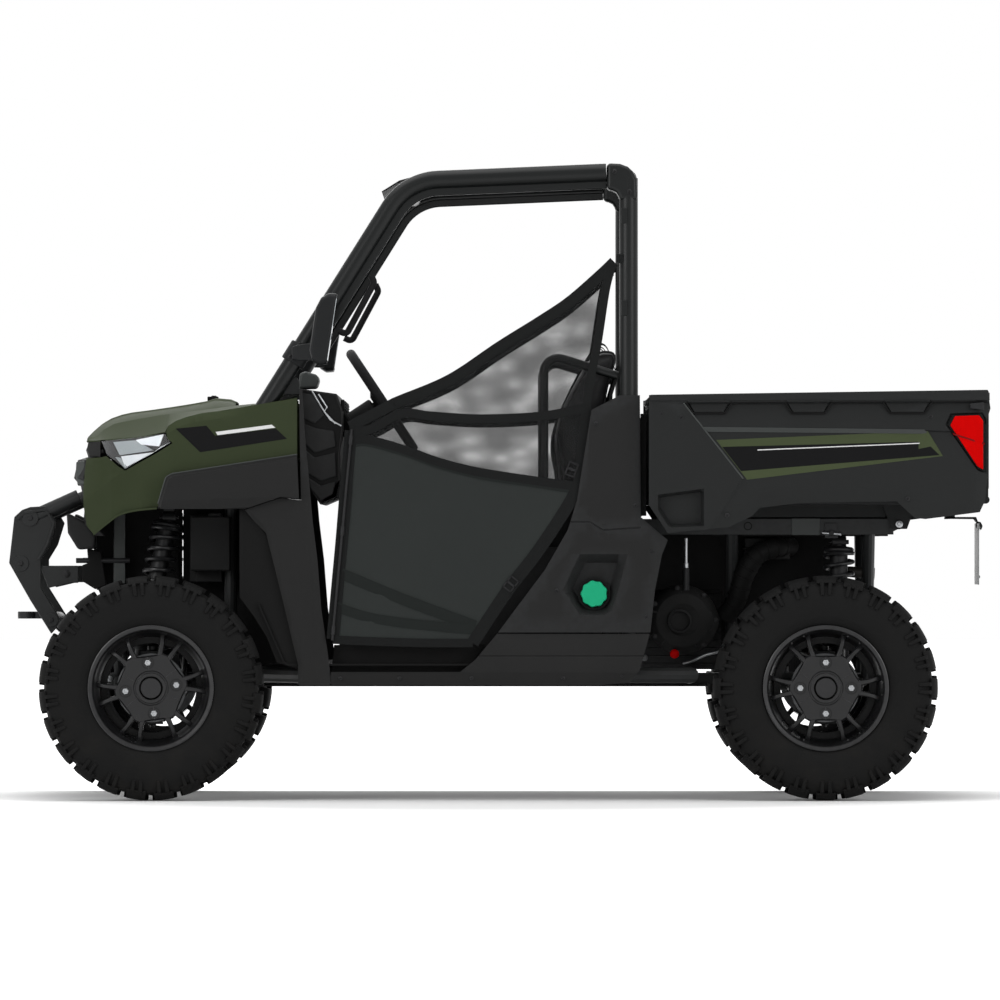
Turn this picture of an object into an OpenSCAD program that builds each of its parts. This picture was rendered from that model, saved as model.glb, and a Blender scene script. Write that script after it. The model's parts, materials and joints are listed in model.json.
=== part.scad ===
// Side by side utility vehicle with an open cab, net doors and a tipping cargo bed.
// X points forward, Y to the vehicle's left and Z up. The origin is on the ground, under
// the middle of the vehicle. All lengths are millimetres and all angles are degrees.

/* [Wheels] */
// Distance between the front and rear axles
wheelbase = 2057; // [2030:1:2080]
// Front axle ahead of the middle of the vehicle
front_axle_x = 1057; // [1045:1:1070]
// Radius of the tyres
tyre_r = 342.5; // [335:0.5:350]
// Section width of the front tyres
front_tyre_w = 229; // [215:1:235]
// Section width of the rear tyres
rear_tyre_w = 279; // [265:1:285]
// Outer face of the tyres from the centre plane
tyre_outer_y = 790; // [785:1:795]
// Radius of the wheel flange
rim_r = 192; // [188:1:195]
// Radius of the circle of wheel nuts
lug_circle_r = 78; // [70:1:84]

/* [Cab] */
// Outside diameter of the cage tubes
cage_d = 57; // [50:1:60]
// Angle at which the cage leans inward
cage_lean = 3.9; // [3:0.1:4.5]
// Outer face of the lower body panels
panel_y = 706; // [700:1:710]
// Thickness of the moulded body panels
panel_t = 6; // [4:0.5:6]
// Radius of the steering wheel rim
wheel_rim_r = 172; // [160:1:180]

/* [Cargo bed] */
// Outer face of the bed sides
bed_outer_y = 750; // [745:1:755]
// Inner face of the bed sides
bed_inner_y = 690; // [685:1:695]
// Height of the bed floor's top face
bed_floor_z = 925; // [915:1:930]
// Height of the bed's tipping pivot
bed_pivot_z = 843; // [840:1:845]

/* [Hidden] */
$fn = 48;
wall_gap = 1.5;
rear_axle_x = front_axle_x - wheelbase;
front_track_y = tyre_outer_y - front_tyre_w / 2;
rear_track_y = tyre_outer_y - rear_tyre_w / 2;
panel_in = panel_y - panel_t;

// Suspension: ball joints, inner pivots and wheel bearing
front_ball_y = 600;
rear_ball_y = 560;
ball_top_z = 440;
ball_low_z = 245;
pivot_y = 225;
pivot_top_z = 470;
pivot_low_z = 350;
arm_d = 28;
spigot_r = 30;
rim_face_y = 745;

// Frame
rail_low_z = 350;
rail_top_z = 380;
frame_d = 38;
sill_z = 381;
bed_pivot_x = -1232;
bed_rail_low_z = 811;
bed_rail_top_z = 859;

// Engine block
engine_front_x = -425;
engine_rear_x = -848;

// Cage: foot of the front pillar, knee of the roof rail and top of the rear pillar
cage_base_y = 668;
cage_base_z = 1190;
pillar_foot = [724, cage_base_z - 9];
roof_knee = [279, 1893];
roof_end = [-400, 1922];
knee_bend = 182;

// Steering wheel centre and the direction of its shaft, towards the driver
steer_hub = [356, 400, 1222];
steer_tilt = 56.4;

// Side net: it leans inward with the cage
net_low = [520, 712, 480];
net_lean = 2.8;
net_hinge = [[505, 714.5, 487], [446, 682.6, 1132]];

// Side-view outlines in X and Z
hood_top = [[797, 1215], [809, 1221], [828, 1229], [874, 1233], [902, 1224], [951, 1215], [1013, 1205],
    [1075, 1196], [1137, 1188], [1168, 1181], [1199, 1170], [1230, 1153], [1254, 1134], [1273, 1116]];
hood_edge = [[612, 1224], [754, 1214], [805, 1209], [916, 1194], [1039, 1179], [1131, 1163],
    [1186, 1151], [1220, 1129], [1232, 1113], [1290, 1104]];
fender_crease = [[612, 1228], [851, 1186], [942, 1168], [998, 1149], [1019, 1126], [1096, 1106],
    [1290, 1100]];
fender_low = [[612, 1060], [909, 1014], [1000, 996], [1036, 905], [1108, 886], [1154, 874],
    [1184, 855], [1236, 812], [1290, 812]];
fender_plan = [[612, 700], [1000, 692], [1100, 662], [1180, 606], [1245, 522], [1290, 438]];
nose_line = [[1258, 1098], [1269, 1071], [1262, 1050], [1294, 1040], [1306, 985], [1285, 960],
    [1272, 902], [1278, 840], [1245, 807]];
headlight_line = [[1197, 1099], [1022, 1118], [1028, 1098], [1000, 1086], [1042, 1066], [1138, 1013],
    [1157, 1024], [1206, 1055]];
flare_line = [[1036, 889], [1036, 905], [1012, 986], [994, 994], [612, 1050], [606, 920], [664, 925],
    [771, 889]];
cowl_side_line = [[772, 884], [707, 809], [679, 703], [649, 581], [624, 474], [609, 413], [609, 352],
    [512, 352], [512, 398], [520, 459], [538, 581], [550, 733], [565, 855], [578, 1008], [587, 1099],
    [596, 1256], [604, 1256], [604, 1100], [600, 916], [664, 919]];
rocker_line = [[509, 352], [509, 391], [115, 391], [69, 428], [2, 508], [-464, 508], [-434, 398], [-404, 358],
    [-312, 352]];
quarter_line = [[-1, 512], [-144, 703], [-214, 825], [-242, 916], [-286, 1191], [-373, 1236], [-434, 1236],
    [-437, 864], [-519, 794], [-501, 748], [-480, 642], [-466, 512]];
filler_line = [[-251, 751], [-397, 751], [-352, 581], [-327, 565], [-251, 565], [-199, 642]];
filler_hub = [-294, 630];
hood_pivot = [1262, 1104];
bed_line = [[-461, 1236], [-1494, 1250], [-1503, 1196], [-1485, 1145], [-1485, 1007], [-1494, 992],
    [-1485, 916], [-1470, 879], [-1305, 858], [-1272, 861], [-1217, 912], [-921, 907], [-799, 892],
    [-775, 867], [-708, 834], [-519, 815], [-461, 901]];
tail_light_line = [[-1388, 1175], [-1470, 1178], [-1484, 1160], [-1484, 1003], [-1464, 1014], [-1372, 1145]];
cowl_top_line = [[780, 1203], [745, 1210], [640, 1248], [606, 1257]];
dash_line = [[606, 1257], [492, 1241], [473, 1133], [480, 979], [492, 924], [542, 902], [573, 948]];
tub_line = [[-336, 1000], [-336, 411], [640, 411], [655, 420], [738, 611], [790, 700], [790, 884]];
seat_box_line = [[300, 416], [325, 690], [290, 772], [-318, 772], [-318, 416]];
cushion_line = [[-165, 780], [285, 786], [316, 812], [316, 850], [285, 880], [100, 872], [-90, 862],
    [-165, 868]];
backrest_line = [[-178, 882], [-196, 1000], [-184, 1100], [-205, 1190], [-262, 1300], [-300, 1366],
    [-340, 1376], [-362, 1356], [-330, 1240], [-322, 1100], [-300, 980], [-282, 882]];
bumper_plate_line = [[1490, 865], [1466, 887], [1441, 896], [1389, 899], [1358, 847], [1379, 779],
    [1407, 733], [1407, 646], [1342, 542], [1376, 505], [1441, 609], [1506, 723]];
net_line = [[505, 487], [490, 642], [475, 794], [460, 977], [446, 1132], [328, 1207], [145, 1286], [-7, 1387],
    [-129, 1463], [-220, 1524], [-312, 1606], [-360, 1648], [-336, 1590], [-304, 1404], [-272, 1236],
    [-238, 965], [-220, 916], [-123, 764], [-30, 642], [75, 476], [206, 476], [359, 480]];

// ---- Helpers ----

function unit(v) = v / norm(v);

// Direction at right angles to a side-view line, on its right
function right_of(a, b) = let (u = unit(b - a)) [u[1], -u[0]];

// Mitred sideways step at one point of an open line
function mitre(line, i) =
    let (last = len(line) - 1,
         before = right_of(line[max(i - 1, 0)], line[max(i, 1)]),
         after = right_of(line[min(i, last - 1)], line[min(i + 1, last)]),
         sum = before + after)
    sum * 2 / (sum * sum);

// Closed outline of a bent sheet, from its line and its thickness to the right
function sheet_outline(line, t) =
    let (other = shifted(line, t))
    concat(line, [for (i = [len(line) - 1 : -1 : 0]) other[i]]);

// An open line moved sideways, to its right
function shifted(line, t) = [for (i = [0 : len(line) - 1]) line[i] + mitre(line, i) * t];

// Points along the round bend at p between a and b
function bend_points(a, p, b, r, steps) =
    let (u = unit(p - a), v = unit(b - p), turn = acos(u * v), w = unit(v - u * (u * v)),
         c = p - u * r * tan(turn / 2) + w * r)
    [for (k = [0 : steps]) c - w * r * cos(turn * k / steps) + u * r * sin(turn * k / steps)];

module both_sides() {
    children();
    mirror([0, 1, 0]) children();
}

module box(low, high) {
    translate(low) cube(high - low);
}

// A side-view outline extruded between two Y planes
module slab(outline, y_low, y_high) {
    translate([0, y_high, 0]) rotate([90, 0, 0]) linear_extrude(y_high - y_low) polygon(outline);
}

module rod(a, b, d) {
    v = b - a;
    translate(a) rotate([0, acos(v[2] / norm(v)), atan2(v[1], v[0])]) cylinder(h = norm(v), d = d);
}

// A cylinder along Y, centred on a side-view point
module disc(x, z, r, y_low, y_high) {
    translate([x, y_low, z]) rotate([-90, 0, 0]) cylinder(h = y_high - y_low, r = r);
}

// Points of a tube's centre line, with each inner corner rounded to one radius
function bent_line(p, r, steps) =
    let (last = len(p) - 1)
    [p[0], for (i = [1 : 1 : last - 1]) each bend_points(p[i - 1], p[i], p[i + 1], r, steps), p[last]];

// Mitred rings of a tube, carried from one length to the next
function tube_rings(p, i, offsets) =
    let (last = len(p) - 1,
         u = unit(i == 0 ? p[1] - p[0] : p[i] - p[i - 1]),
         v = unit(i == last ? p[i] - p[i - 1] : p[i + 1] - p[i]),
         m = unit(u + v),
         ring = [for (q = offsets) p[i] + q - u * ((q * m) / (u * m))],
         next = [for (q = ring) q - p[i] - v * ((q - p[i]) * v)])
    i == last ? [ring] : concat([ring], tube_rings(p, i + 1, next));

// A many-sided tube through a list of points, mitred at each inner point
module tube_run(p, d, sides = 12) {
    u = unit(p[1] - p[0]);
    e = unit(cross(u, abs(u[1]) > 0.9 ? [1, 0, 0] : [0, 1, 0]));
    f = cross(u, e);
    start = [for (k = [0 : sides - 1]) (e * cos(360 * k / sides) + f * sin(360 * k / sides)) * d / 2];
    rings = tube_rings(p, 0, start);
    last = len(p) - 1;
    walls = [for (i = [0 : last - 1], k = [0 : sides - 1])
        let (a = i * sides + k, b = i * sides + (k + 1) % sides) [a, a + sides, b + sides, b]];
    caps = [[for (k = [0 : sides - 1]) k], [for (k = [sides - 1 : -1 : 0]) last * sides + k]];
    polyhedron([for (ring = rings) each ring], concat(walls, caps));
}

// The same, bent to one radius at each inner point
module bent_tube(p, r, d, steps = 4, sides = 12) {
    tube_run(bent_line(p, r, steps), d, sides);
}

// A thin shell over rows of points, thickened by one shift
module skin(rows, shift) {
    n = len(rows[0]);
    m = len(rows);
    k = m * n;
    face = [for (row = rows) each row];
    points = concat(face, [for (p = face) p + shift]);
    inward = cross(face[1] - face[0], face[n] - face[0]) * shift > 0;
    rim = concat([for (j = [0 : n - 2]) j], [for (i = [0 : m - 2]) i * n + n - 1],
        [for (j = [n - 1 : -1 : 1]) (m - 1) * n + j], [for (i = [m - 1 : -1 : 1]) i * n]);
    top = [for (i = [0 : m - 2], j = [0 : n - 2])
        let (a = i * n + j) each [[a, a + 1, a + n + 1], [a, a + n + 1, a + n]]];
    bottom = [for (f = top) [f[2] + k, f[1] + k, f[0] + k]];
    sides = [for (q = [0 : len(rim) - 1])
        let (a = rim[q], b = rim[(q + 1) % len(rim)]) each [[b, a, a + k], [b, a + k, b + k]]];
    all_faces = concat(top, bottom, sides);
    polyhedron(points, inward ? all_faces : [for (f = all_faces) [f[2], f[1], f[0]]]);
}

// ---- Wheels ----

// Tyre casing in radius and width, open at the beads
function tyre_section(w) =
    let (k = w / 229,
         outer = [[178, 88], [194, 88], [203, 100], [225, 110], [262, 114.5], [300, 112], [325, 103],
             [337, 88], [342.5, 62]],
         inner = [[178, 74], [203, 84], [228, 95], [262, 99], [296, 97], [314, 90], [325, 76], [328, 50]],
         half = [for (p = outer) [p[0] * tyre_r / 342.5, p[1] * k]],
         hollow = [for (p = inner) [p[0] * tyre_r / 342.5, p[1] * k]],
         n = len(half) - 1,
         h = len(hollow) - 1)
    concat(half, [for (i = [n : -1 : 0]) [half[i][0], -half[i][1]]],
        [for (p = hollow) [p[0], -p[1]]], [for (i = [h : -1 : 0]) hollow[i]]);

module tyre(x, y, w) {
    color([0.07, 0.07, 0.07]) translate([x, y, tyre_r]) rotate([-90, 0, 0])
        rotate_extrude($fn = 96) polygon(tyre_section(w));
}

// Rim: barrel, then a spoked disc with a hub bore and four nut holes
module rim(x, y, w, side) {
    k = w / 229;
    barrel = [[rim_r, -94], [rim_r, -88.5], [177.7, -88.5], [177.7, -60], [162, -50], [162, 36], [177.7, 52],
        [177.7, 88.5], [rim_r, 88.5], [rim_r, 94], [171, 94], [171, 54], [156, 34], [156, -52], [171, -62],
        [171, -94]];
    face = rim_face_y - abs(y);
    turned = side > 0 ? 0 : 180;
    color([0.13, 0.13, 0.14]) translate([x, y, tyre_r]) rotate([0, 0, turned]) rotate([-90, 0, 0]) {
        rotate_extrude($fn = 96) polygon([for (p = barrel) [p[0], p[1] * k]]);
        translate([0, 0, face - 14]) difference() {
            cylinder(h = 14, r = 172, $fn = 96);
            translate([0, 0, -1]) cylinder(h = 16, r = spigot_r + 0.05);
            for (i = [0 : 3]) rotate([0, 0, 90 * i]) translate([lug_circle_r, 0, -1]) cylinder(h = 16, r = 7);
            for (i = [0 : 5]) rotate([0, 0, 60 * i + 30])
                translate([0, 0, -1]) linear_extrude(16)
                    polygon([[112, -26], [112, 26], [150, 44], [160, 30], [163, 0], [160, -30], [150, -44]]);
            for (i = [0 : 5]) rotate([0, 0, 60 * i])
                translate([0, 0, -1]) linear_extrude(16)
                    polygon([[118, -6], [118, 6], [160, 11], [160, -11]]);
        }
    }
}

module tyre_front_left() { tyre(front_axle_x, front_track_y, front_tyre_w); }
module tyre_front_right() { tyre(front_axle_x, -front_track_y, front_tyre_w); }
module tyre_rear_left() { tyre(rear_axle_x, rear_track_y, rear_tyre_w); }
module tyre_rear_right() { tyre(rear_axle_x, -rear_track_y, rear_tyre_w); }
module rim_front_left() { rim(front_axle_x, front_track_y, front_tyre_w, 1); }
module rim_front_right() { rim(front_axle_x, -front_track_y, front_tyre_w, -1); }
module rim_rear_left() { rim(rear_axle_x, rear_track_y, rear_tyre_w, 1); }
module rim_rear_right() { rim(rear_axle_x, -rear_track_y, rear_tyre_w, -1); }

// ---- Suspension and steering ----

// One control arm: two tubes from their pivot sleeves to a ball joint block
module control_arm(x_a, x_b, z, end) {
    for (side = [[x_a, -16 * sign(x_b - x_a)], [x_b, 16 * sign(x_b - x_a)]]) {
        rod([side[0], pivot_y + 4, z], end + [side[1], -14, 0], arm_d);
        rod([side[0] - 28, pivot_y, z], [side[0] + 28, pivot_y, z], 38);
    }
    box(end - [33, 24, 15], end + [33, 22, 15]);
}

// Upper and lower arm of one wheel. The upper arm's pivots sit behind or ahead of the axle.
module arm_pair(x, y, side) {
    control_arm(x + side * 117, x + side * 17, pivot_top_z, [x, y, ball_top_z]);
    control_arm(x + side * 100, x - side * 100, pivot_low_z, [x, y, ball_low_z]);
}

module suspension_arms() {
    color([0.1, 0.1, 0.1]) both_sides() {
        arm_pair(front_axle_x, front_ball_y, -1);
        arm_pair(rear_axle_x, rear_ball_y, 1);
    }
}

// Coil-over shock: eye, damper rod, spring over the body, and top eye
module shock(low, high) {
    u = unit(high - low);
    rod(low, low + u * 190, 28);
    rod(low + u * 190, high - u * 42, 96);
    rod(high - u * 42, high, 30);
    for (p = [low, high]) rod(p - [22, 0, 0], p + [22, 0, 0], 36);
}

module shocks() {
    color([0.12, 0.12, 0.12]) both_sides() {
        shock([front_axle_x + 61, 436, 326], [front_axle_x - 46, 392, 862]);
        shock([rear_axle_x - 45, 420, 326], [rear_axle_x - 50, 404, 788]);
    }
}

// Upright between the ball joints, with the bearing spigot that carries the wheel
module upright(x, y) {
    translate([x, y, ball_low_z + 19]) cylinder(h = ball_top_z - ball_low_z - 38, r = 24);
    disc(x, tyre_r, 62, y - 20, y + 34);
    disc(x, tyre_r, spigot_r, y + 20, rim_face_y + 3);
}

module front_knuckle() {
    color([0.2, 0.2, 0.2]) {
        upright(front_axle_x, front_ball_y);
        // Steering arm that the tie rod turns
        translate([front_axle_x, front_ball_y, tyre_r]) box([-104, -20, -12], [-20, 8, 12]);
    }
}
module front_knuckle_left() { front_knuckle(); }
module front_knuckle_right() { mirror([0, 1, 0]) front_knuckle(); }

module rear_hubs() {
    color([0.2, 0.2, 0.2]) both_sides() upright(rear_axle_x, rear_ball_y);
}

// Rack with its two tie rods, which stop just short of the steering arms
module steering_rack() {
    rack_x = front_axle_x - 90;
    rack_z = 432;
    color([0.15, 0.15, 0.15]) {
        rod([rack_x, -205, rack_z], [rack_x, 205, rack_z], 30);
        both_sides() {
            rod([rack_x, 195, rack_z], [rack_x, front_ball_y - 42, tyre_r + 4], 18);
            translate([rack_x, front_ball_y - 42, tyre_r + 4]) sphere(r = 14);
        }
    }
}

// Half shaft that droops from its gearcase to the wheel, with the boot of its outer joint
module half_shaft(x, inner, z, outer) {
    slope = [x, outer, tyre_r] - [x, inner, z];
    rod([x, inner, z], [x, outer, tyre_r], 28);
    rod([x, outer, tyre_r] - slope * 0.19, [x, outer, tyre_r] - slope * 0.02, 70);
}

module driveline() {
    color([0.25, 0.25, 0.26]) {
        // Front gearcase, rear gearbox behind the engine, and the shaft under the cab floor
        box([front_axle_x - 70, -110, 383.5], [front_axle_x + 78, 110, 470]);
        box([rear_axle_x - 90, -115, 383.5], [rear_axle_x + 100, 115, 560]);
        box([rear_axle_x + 99, -60, 400], [engine_rear_x, 60, 520]);
        rod([front_axle_x - 66, 0, 396], [engine_front_x, 0, 396], 26);
        both_sides() {
            half_shaft(front_axle_x, 105, 420, front_ball_y - 46);
            half_shaft(rear_axle_x, 110, 430, rear_ball_y - 28);
        }
    }
}

// ---- Frame ----

// Ladder of rails and sill tubes under the floor
module frame() {
    color([0.08, 0.08, 0.08]) {
        both_sides() {
            box([-1165, 150, rail_low_z], [1286, 200, rail_top_z]);
            tube_run([[-590, 180, sill_z - 7], [-590, 600, sill_z], [590, 600, sill_z], [712, 395, sill_z],
                [782, 180, sill_z - 7]], 50);
            tube_run([[0, 180, sill_z - 10], [0, 600, sill_z - 10]], 38);
        }
        for (x = [1261, 790, 90, -590, -1140])
            box([x - 25, -160, rail_low_z], [x + 25, 160, rail_top_z]);
    }
}

// Space of one frame rail, taken out of the tubes that end on it
module beside_rail() {
    box([-1300, 100, 300], [1300, 200.3, rail_top_z + 0.3]);
}

// Front tower, which carries the shocks, the radiator and the foot of the cage
module front_tower() {
    color([0.08, 0.08, 0.08]) {
        both_sides() {
            difference() {
                union() {
                    tube_run([[1172, 196, 386], [1172, 300, 430], [1172, 300, 905], [822, 380, 905]], 28);
                    tube_run([[822, 196, 376], [822, 380, 420], [822, 380, 920], [745, 652, 1160]], frame_d);
                }
                beside_rail();
            }
            box([995, 335, 884], [1027, 412, 912]);
        }
        tube_run([[1172, -300, 905], [1172, 300, 905]], 28);
        tube_run([[745, -652, 1160], [745, 652, 1160]], frame_d);
    }
}

// Rails that carry the bed and the rear pillars, with the tipping pivot
module bed_frame() {
    color([0.08, 0.08, 0.08]) {
        both_sides() {
            box([-1215, 425, bed_rail_low_z], [-380, 475, bed_rail_top_z]);
            difference() {
                for (x = [-720, -1140])
                    tube_run([[x, 450, bed_rail_low_z + 8], [x, 216, 412], [x, 201, 372]], frame_d);
                beside_rail();
            }
            box([-430, 470, bed_rail_low_z], [-370, 694, bed_rail_top_z]);
            tube_run([[-400, 640, bed_rail_low_z + 8], [-400, 604, sill_z + 27]], frame_d);
            box([bed_pivot_x, 430, bed_pivot_z - 12], [-1200, 470, bed_pivot_z + 12]);
        }
        box([-425, -440, bed_rail_low_z], [-385, 440, bed_rail_top_z]);
        rod([bed_pivot_x, -476, bed_pivot_z], [bed_pivot_x, 476, bed_pivot_z], 32);
        rod([bed_pivot_x, -496, bed_pivot_z], [bed_pivot_x, 496, bed_pivot_z], 20);
    }
}

module skid_plate() {
    color([0.12, 0.12, 0.12]) difference() {
        union() {
            box([-650, -240, 342], [880, 240, 348]);
            box([879, -195, 342], [1250, 195, 348]);
            slab([[1249, 342], [1290, 342], [1370, 440], [1365, 443], [1287, 348], [1249, 348]], -190, 190);
        }
        for (x = [-500 : 250 : 1000]) translate([x, 0, 320]) cylinder(h = 40, r = 22);
    }
}

// Square receiver with a cross hole for the hitch pin
module hitch_receiver() {
    color([0.08, 0.08, 0.08]) difference() {
        box([-1275, -32, 352], [-1167, 32, 416]);
        box([-1290, -25.5, 358.5], [-1175, 25.5, 409.5]);
        disc(-1230, 384, 8, -40, 40);
    }
}

module front_bumper() {
    color([0.1, 0.1, 0.1]) {
        both_sides() {
            difference() {
                slab(bumper_plate_line, 322, 332);
                slab([[1430, 850], [1455, 838], [1440, 760], [1415, 770]], 310, 340);
            }
            slab([[1410, 714], [1293, 714], [1293, 660], [1320, 660], [1385, 646]], 300, 323);
            rod([1296, 311, 922], [1426, 311, 866], 44);
        }
        rod([1440, -330, 862], [1440, 330, 862], 50);
        rod([1470, -330, 722], [1470, 330, 722], 50);
        rod([1376, -330, 548], [1376, 330, 548], 44);
        // Face plate between the upper tubes, with a slot for a winch rope
        difference() {
            slab([[1452, 850], [1478, 740], [1484, 742], [1458, 852]], -240, 240);
            box([1440, -90, 775], [1500, 90, 815]);
        }
        // Tow loop
        difference() {
            box([1370, -32, 548], [1491, 32, 573]);
            translate([1462, 0, 540]) cylinder(h = 40, r = 16);
        }
    }
}

// ---- Front body ----

module front_fenders() {
    stations = [1289, 1245, 1212, 1180, 1140, 1100, 1060, 1038, 1019, 1000, 970, 909, 851, 754, 690, 612];
    outer = function (x) lookup(x, fender_plan);
    crease_y = function (x) outer(x) - 22;
    seam_y = function (x) min(405, outer(x) - 34);
    color([0.24, 0.27, 0.17]) both_sides() difference() {
        skin([
            [for (x = stations) [x, seam_y(x), lookup(x, hood_edge) - 1]],
            [for (x = stations) [x, crease_y(x), lookup(x, fender_crease)]],
            [for (x = stations) [x, outer(x), lookup(x, fender_crease) - 26]],
            [for (x = stations) [x, outer(x), lookup(x, fender_low)]]
        ], [0, -4.5, -4]);
        slab(headlight_line, 500, 720);
        cage_pillar(cage_d + 14);
    }
}

module headlights() {
    plan = [for (p = [fender_plan[1], fender_plan[2], fender_plan[3], fender_plan[4]]) [p[0], p[1] - 6]];
    lens = [for (p = headlight_line) [1103 + (p[0] - 1103) * 0.975, 1062 + (p[1] - 1062) * 0.95]];
    color([0.8, 0.82, 0.85]) both_sides() intersection() {
        slab(lens, 480, 720);
        translate([0, 0, 980]) linear_extrude(160)
            polygon(concat(plan, [for (i = [3 : -1 : 0]) plan[i] - [10, 60]]));
    }
}

module front_fascia() {
    color([0.09, 0.09, 0.09]) difference() {
        slab(sheet_outline(nose_line, 6), -428, 428);
        // Grille slots, and room for the hood's hinge barrels
        for (i = [0 : 2]) box([1200, -250, 985 - 42 * i], [1330, 250, 1005 - 42 * i]);
        both_sides() box([1230, 130, 1090], [1300, 190, 1110]);
    }
}

module fender_flares() {
    top_edge = [[1036, 905], [1012, 986], [994, 994], [612, 1050]];
    color([0.1, 0.1, 0.1]) both_sides() {
        slab(flare_line, 728, 734);
        slab(sheet_outline([for (i = [3 : -1 : 0]) top_edge[i]], panel_t), 704, 729);
    }
}

module cowl_sides() {
    color([0.1, 0.1, 0.1]) both_sides() slab(cowl_side_line, panel_in, panel_y);
}

module hood() {
    rear_x = 800;
    stations = [for (i = [len(hood_top) - 1 : -1 : 1]) hood_top[i][0]];
    // Front edge sweeps back and the crown drops towards each side
    front = function (y) 1270 - 35 * pow(abs(y) / 400, 2);
    across = function (x, y) rear_x + (x - rear_x) * (front(y) - rear_x) / (1270 - rear_x);
    height = function (x, y)
        let (edge = lookup(across(x, y), hood_edge), mid = lookup(x, hood_top), k = pow(abs(y) / 400, 3))
        mid * (1 - k) + edge * k;
    color([0.24, 0.27, 0.17]) {
        skin([for (y = [-399, -330, -250, -130, 0, 130, 250, 330, 399])
            [for (x = stations) [across(x, y), y, height(x, y)]]], [0, 0, -5]);
        // Hinge barrels under the front edge
        both_sides() {
            rod([hood_pivot[0], 140, hood_pivot[1]], [hood_pivot[0], 180, hood_pivot[1]], 12);
            slab([[1257.5, 1104], [1262.5, 1104], [1262.5, 1117.5], [1257.5, 1122]], 140, 180);
        }
    }
}

module radiator() {
    color([0.12, 0.12, 0.12]) difference() {
        box([848, -372, 665], [948, 372, 872]);
        for (z = [690 : 30 : 840]) box([938, -340, z], [960, 340, z + 18]);
    }
}

// ---- Cab ----

module dashboard() {
    color([0.1, 0.1, 0.1]) difference() {
        union() {
            slab(sheet_outline(cowl_top_line, -panel_t), -396, 396);
            slab(sheet_outline(dash_line, -panel_t), -630, 630);
        }
        rod(steer_hub, steer_hub + [260, 0, -172], 70);
    }
}

module cabin_floor() {
    color([0.1, 0.1, 0.1]) difference() {
        slab(sheet_outline(tub_line, -5), -694, 694);
        both_sides() box([-345, 600, 500], [-325, 720, 1010]);
        both_sides() box([700, 640, 600], [800, 720, 900]);
    }
}

module rocker_panels() {
    color([0.1, 0.1, 0.1]) both_sides() slab(rocker_line, panel_in, panel_y);
}

module quarter_panels() {
    color([0.11, 0.11, 0.11]) {
        mirror([0, 1, 0]) slab(quarter_line, panel_in, panel_y);
        difference() {
            union() {
                slab(quarter_line, panel_in, panel_y);
                slab([for (p = filler_line) filler_hub + (p - filler_hub) * 1.07], panel_y - 46, panel_y - 2);
            }
            slab(filler_line, panel_y - 40, panel_y + 10);
            disc(filler_hub[0], filler_hub[1], 32, panel_y - 60, panel_y);
        }
    }
}

module fuel_cap() {
    color([0.05, 0.5, 0.38]) {
        disc(filler_hub[0], filler_hub[1], 43, panel_y - 28, panel_y + 4);
        disc(filler_hub[0], filler_hub[1], 30, panel_y - 60, panel_y - 20);
    }
}

module seat_box() {
    color([0.09, 0.09, 0.09]) difference() {
        slab(seat_box_line, -640, 640);
        slab([[294, 400], [318, 690], [286, 764], [-310, 764], [-310, 400]], -632, 632);
    }
}

// A driver's seat and a two-place passenger bench, 5 mm apart
module seat_cushions() {
    color([0.1, 0.1, 0.1]) {
        slab(cushion_line, 132, 600);
        slab(cushion_line, -600, 120);
    }
}

module seat_backs() {
    color([0.1, 0.1, 0.1]) {
        slab(backrest_line, 132, 600);
        slab(backrest_line, -600, 120);
    }
}

// The cage is drawn in an upright X-Z plane, then leaned inward about its base
module leaned() {
    translate([0, cage_base_y, cage_base_z]) rotate([cage_lean, 0, 0])
        translate([0, 0, -cage_base_z]) children();
}

function leaned_point(x, z) =
    [x, cage_base_y - (z - cage_base_z) * sin(cage_lean), cage_base_z + (z - cage_base_z) * cos(cage_lean)];

module cage_pillar(d) {
    leaned() rod([pillar_foot[0], 0, pillar_foot[1]], [pillar_foot[0] - 125, 0, pillar_foot[1] + 200], d);
}

module cage_front() {
    rail_end = [-331.2, roof_end[1] - 3];
    web_start = pillar_foot + (roof_knee - pillar_foot) * 0.33;
    web_end = rail_end + [1, 0];
    web_line = concat([web_start], bend_points(web_start, roof_knee, web_end, knee_bend - 7, 7), [web_end]);
    color([0.07, 0.07, 0.07]) {
        both_sides() leaned() {
            bent_tube([[pillar_foot[0], 0, pillar_foot[1]], [roof_knee[0], 0, roof_knee[1]],
                [rail_end[0], 0, rail_end[1]]], knee_bend, cage_d, 8, 16);
            // Web along the inside of the tube
            translate([0, 7, 0]) rotate([90, 0, 0]) linear_extrude(14)
                polygon(sheet_outline(shifted(web_line, -22), -27));
            // Gusset at the foot
            slab([[716, 1236], [642, 1302], [606, 1281], [604, 1236]], -6, 2);
        }
        rod([267, -610, 1871], [267, 610, 1871], 50);
        slab([[356, 1861], [301, 1895], [239, 1912], [239, 1906], [298, 1889], [351, 1858]], -585, 585);
    }
}

module cage_rear() {
    top_z = roof_end[1] - 20;
    color([0.07, 0.07, 0.07]) {
        both_sides() {
            tube_run([[-400, 640, 863], [-400, cage_base_y, cage_base_z], leaned_point(-400, top_z)],
                cage_d, 16);
            // Corner casting that joins the roof rail
            leaned() translate([0, 30, 0]) rotate([90, 0, 0]) linear_extrude(60)
                polygon([[-333, 1894], [-333, 1951], [-372, 1951], [-410, 1928], [-429, 1896], [-429, 1862],
                    [-373, 1862]]);
        }
        rod([-400, -606, 1900], [-400, 606, 1900], 50);
        rod([-400, -655, 1180], [-400, 655, 1180], 44);
    }
}

module hip_bars() {
    color([0.07, 0.07, 0.07]) both_sides()
        bent_tube([[-141, 622, 776], [-141, 622, 1360], [-366, 622, 1300]], 40, 28);
}

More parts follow.
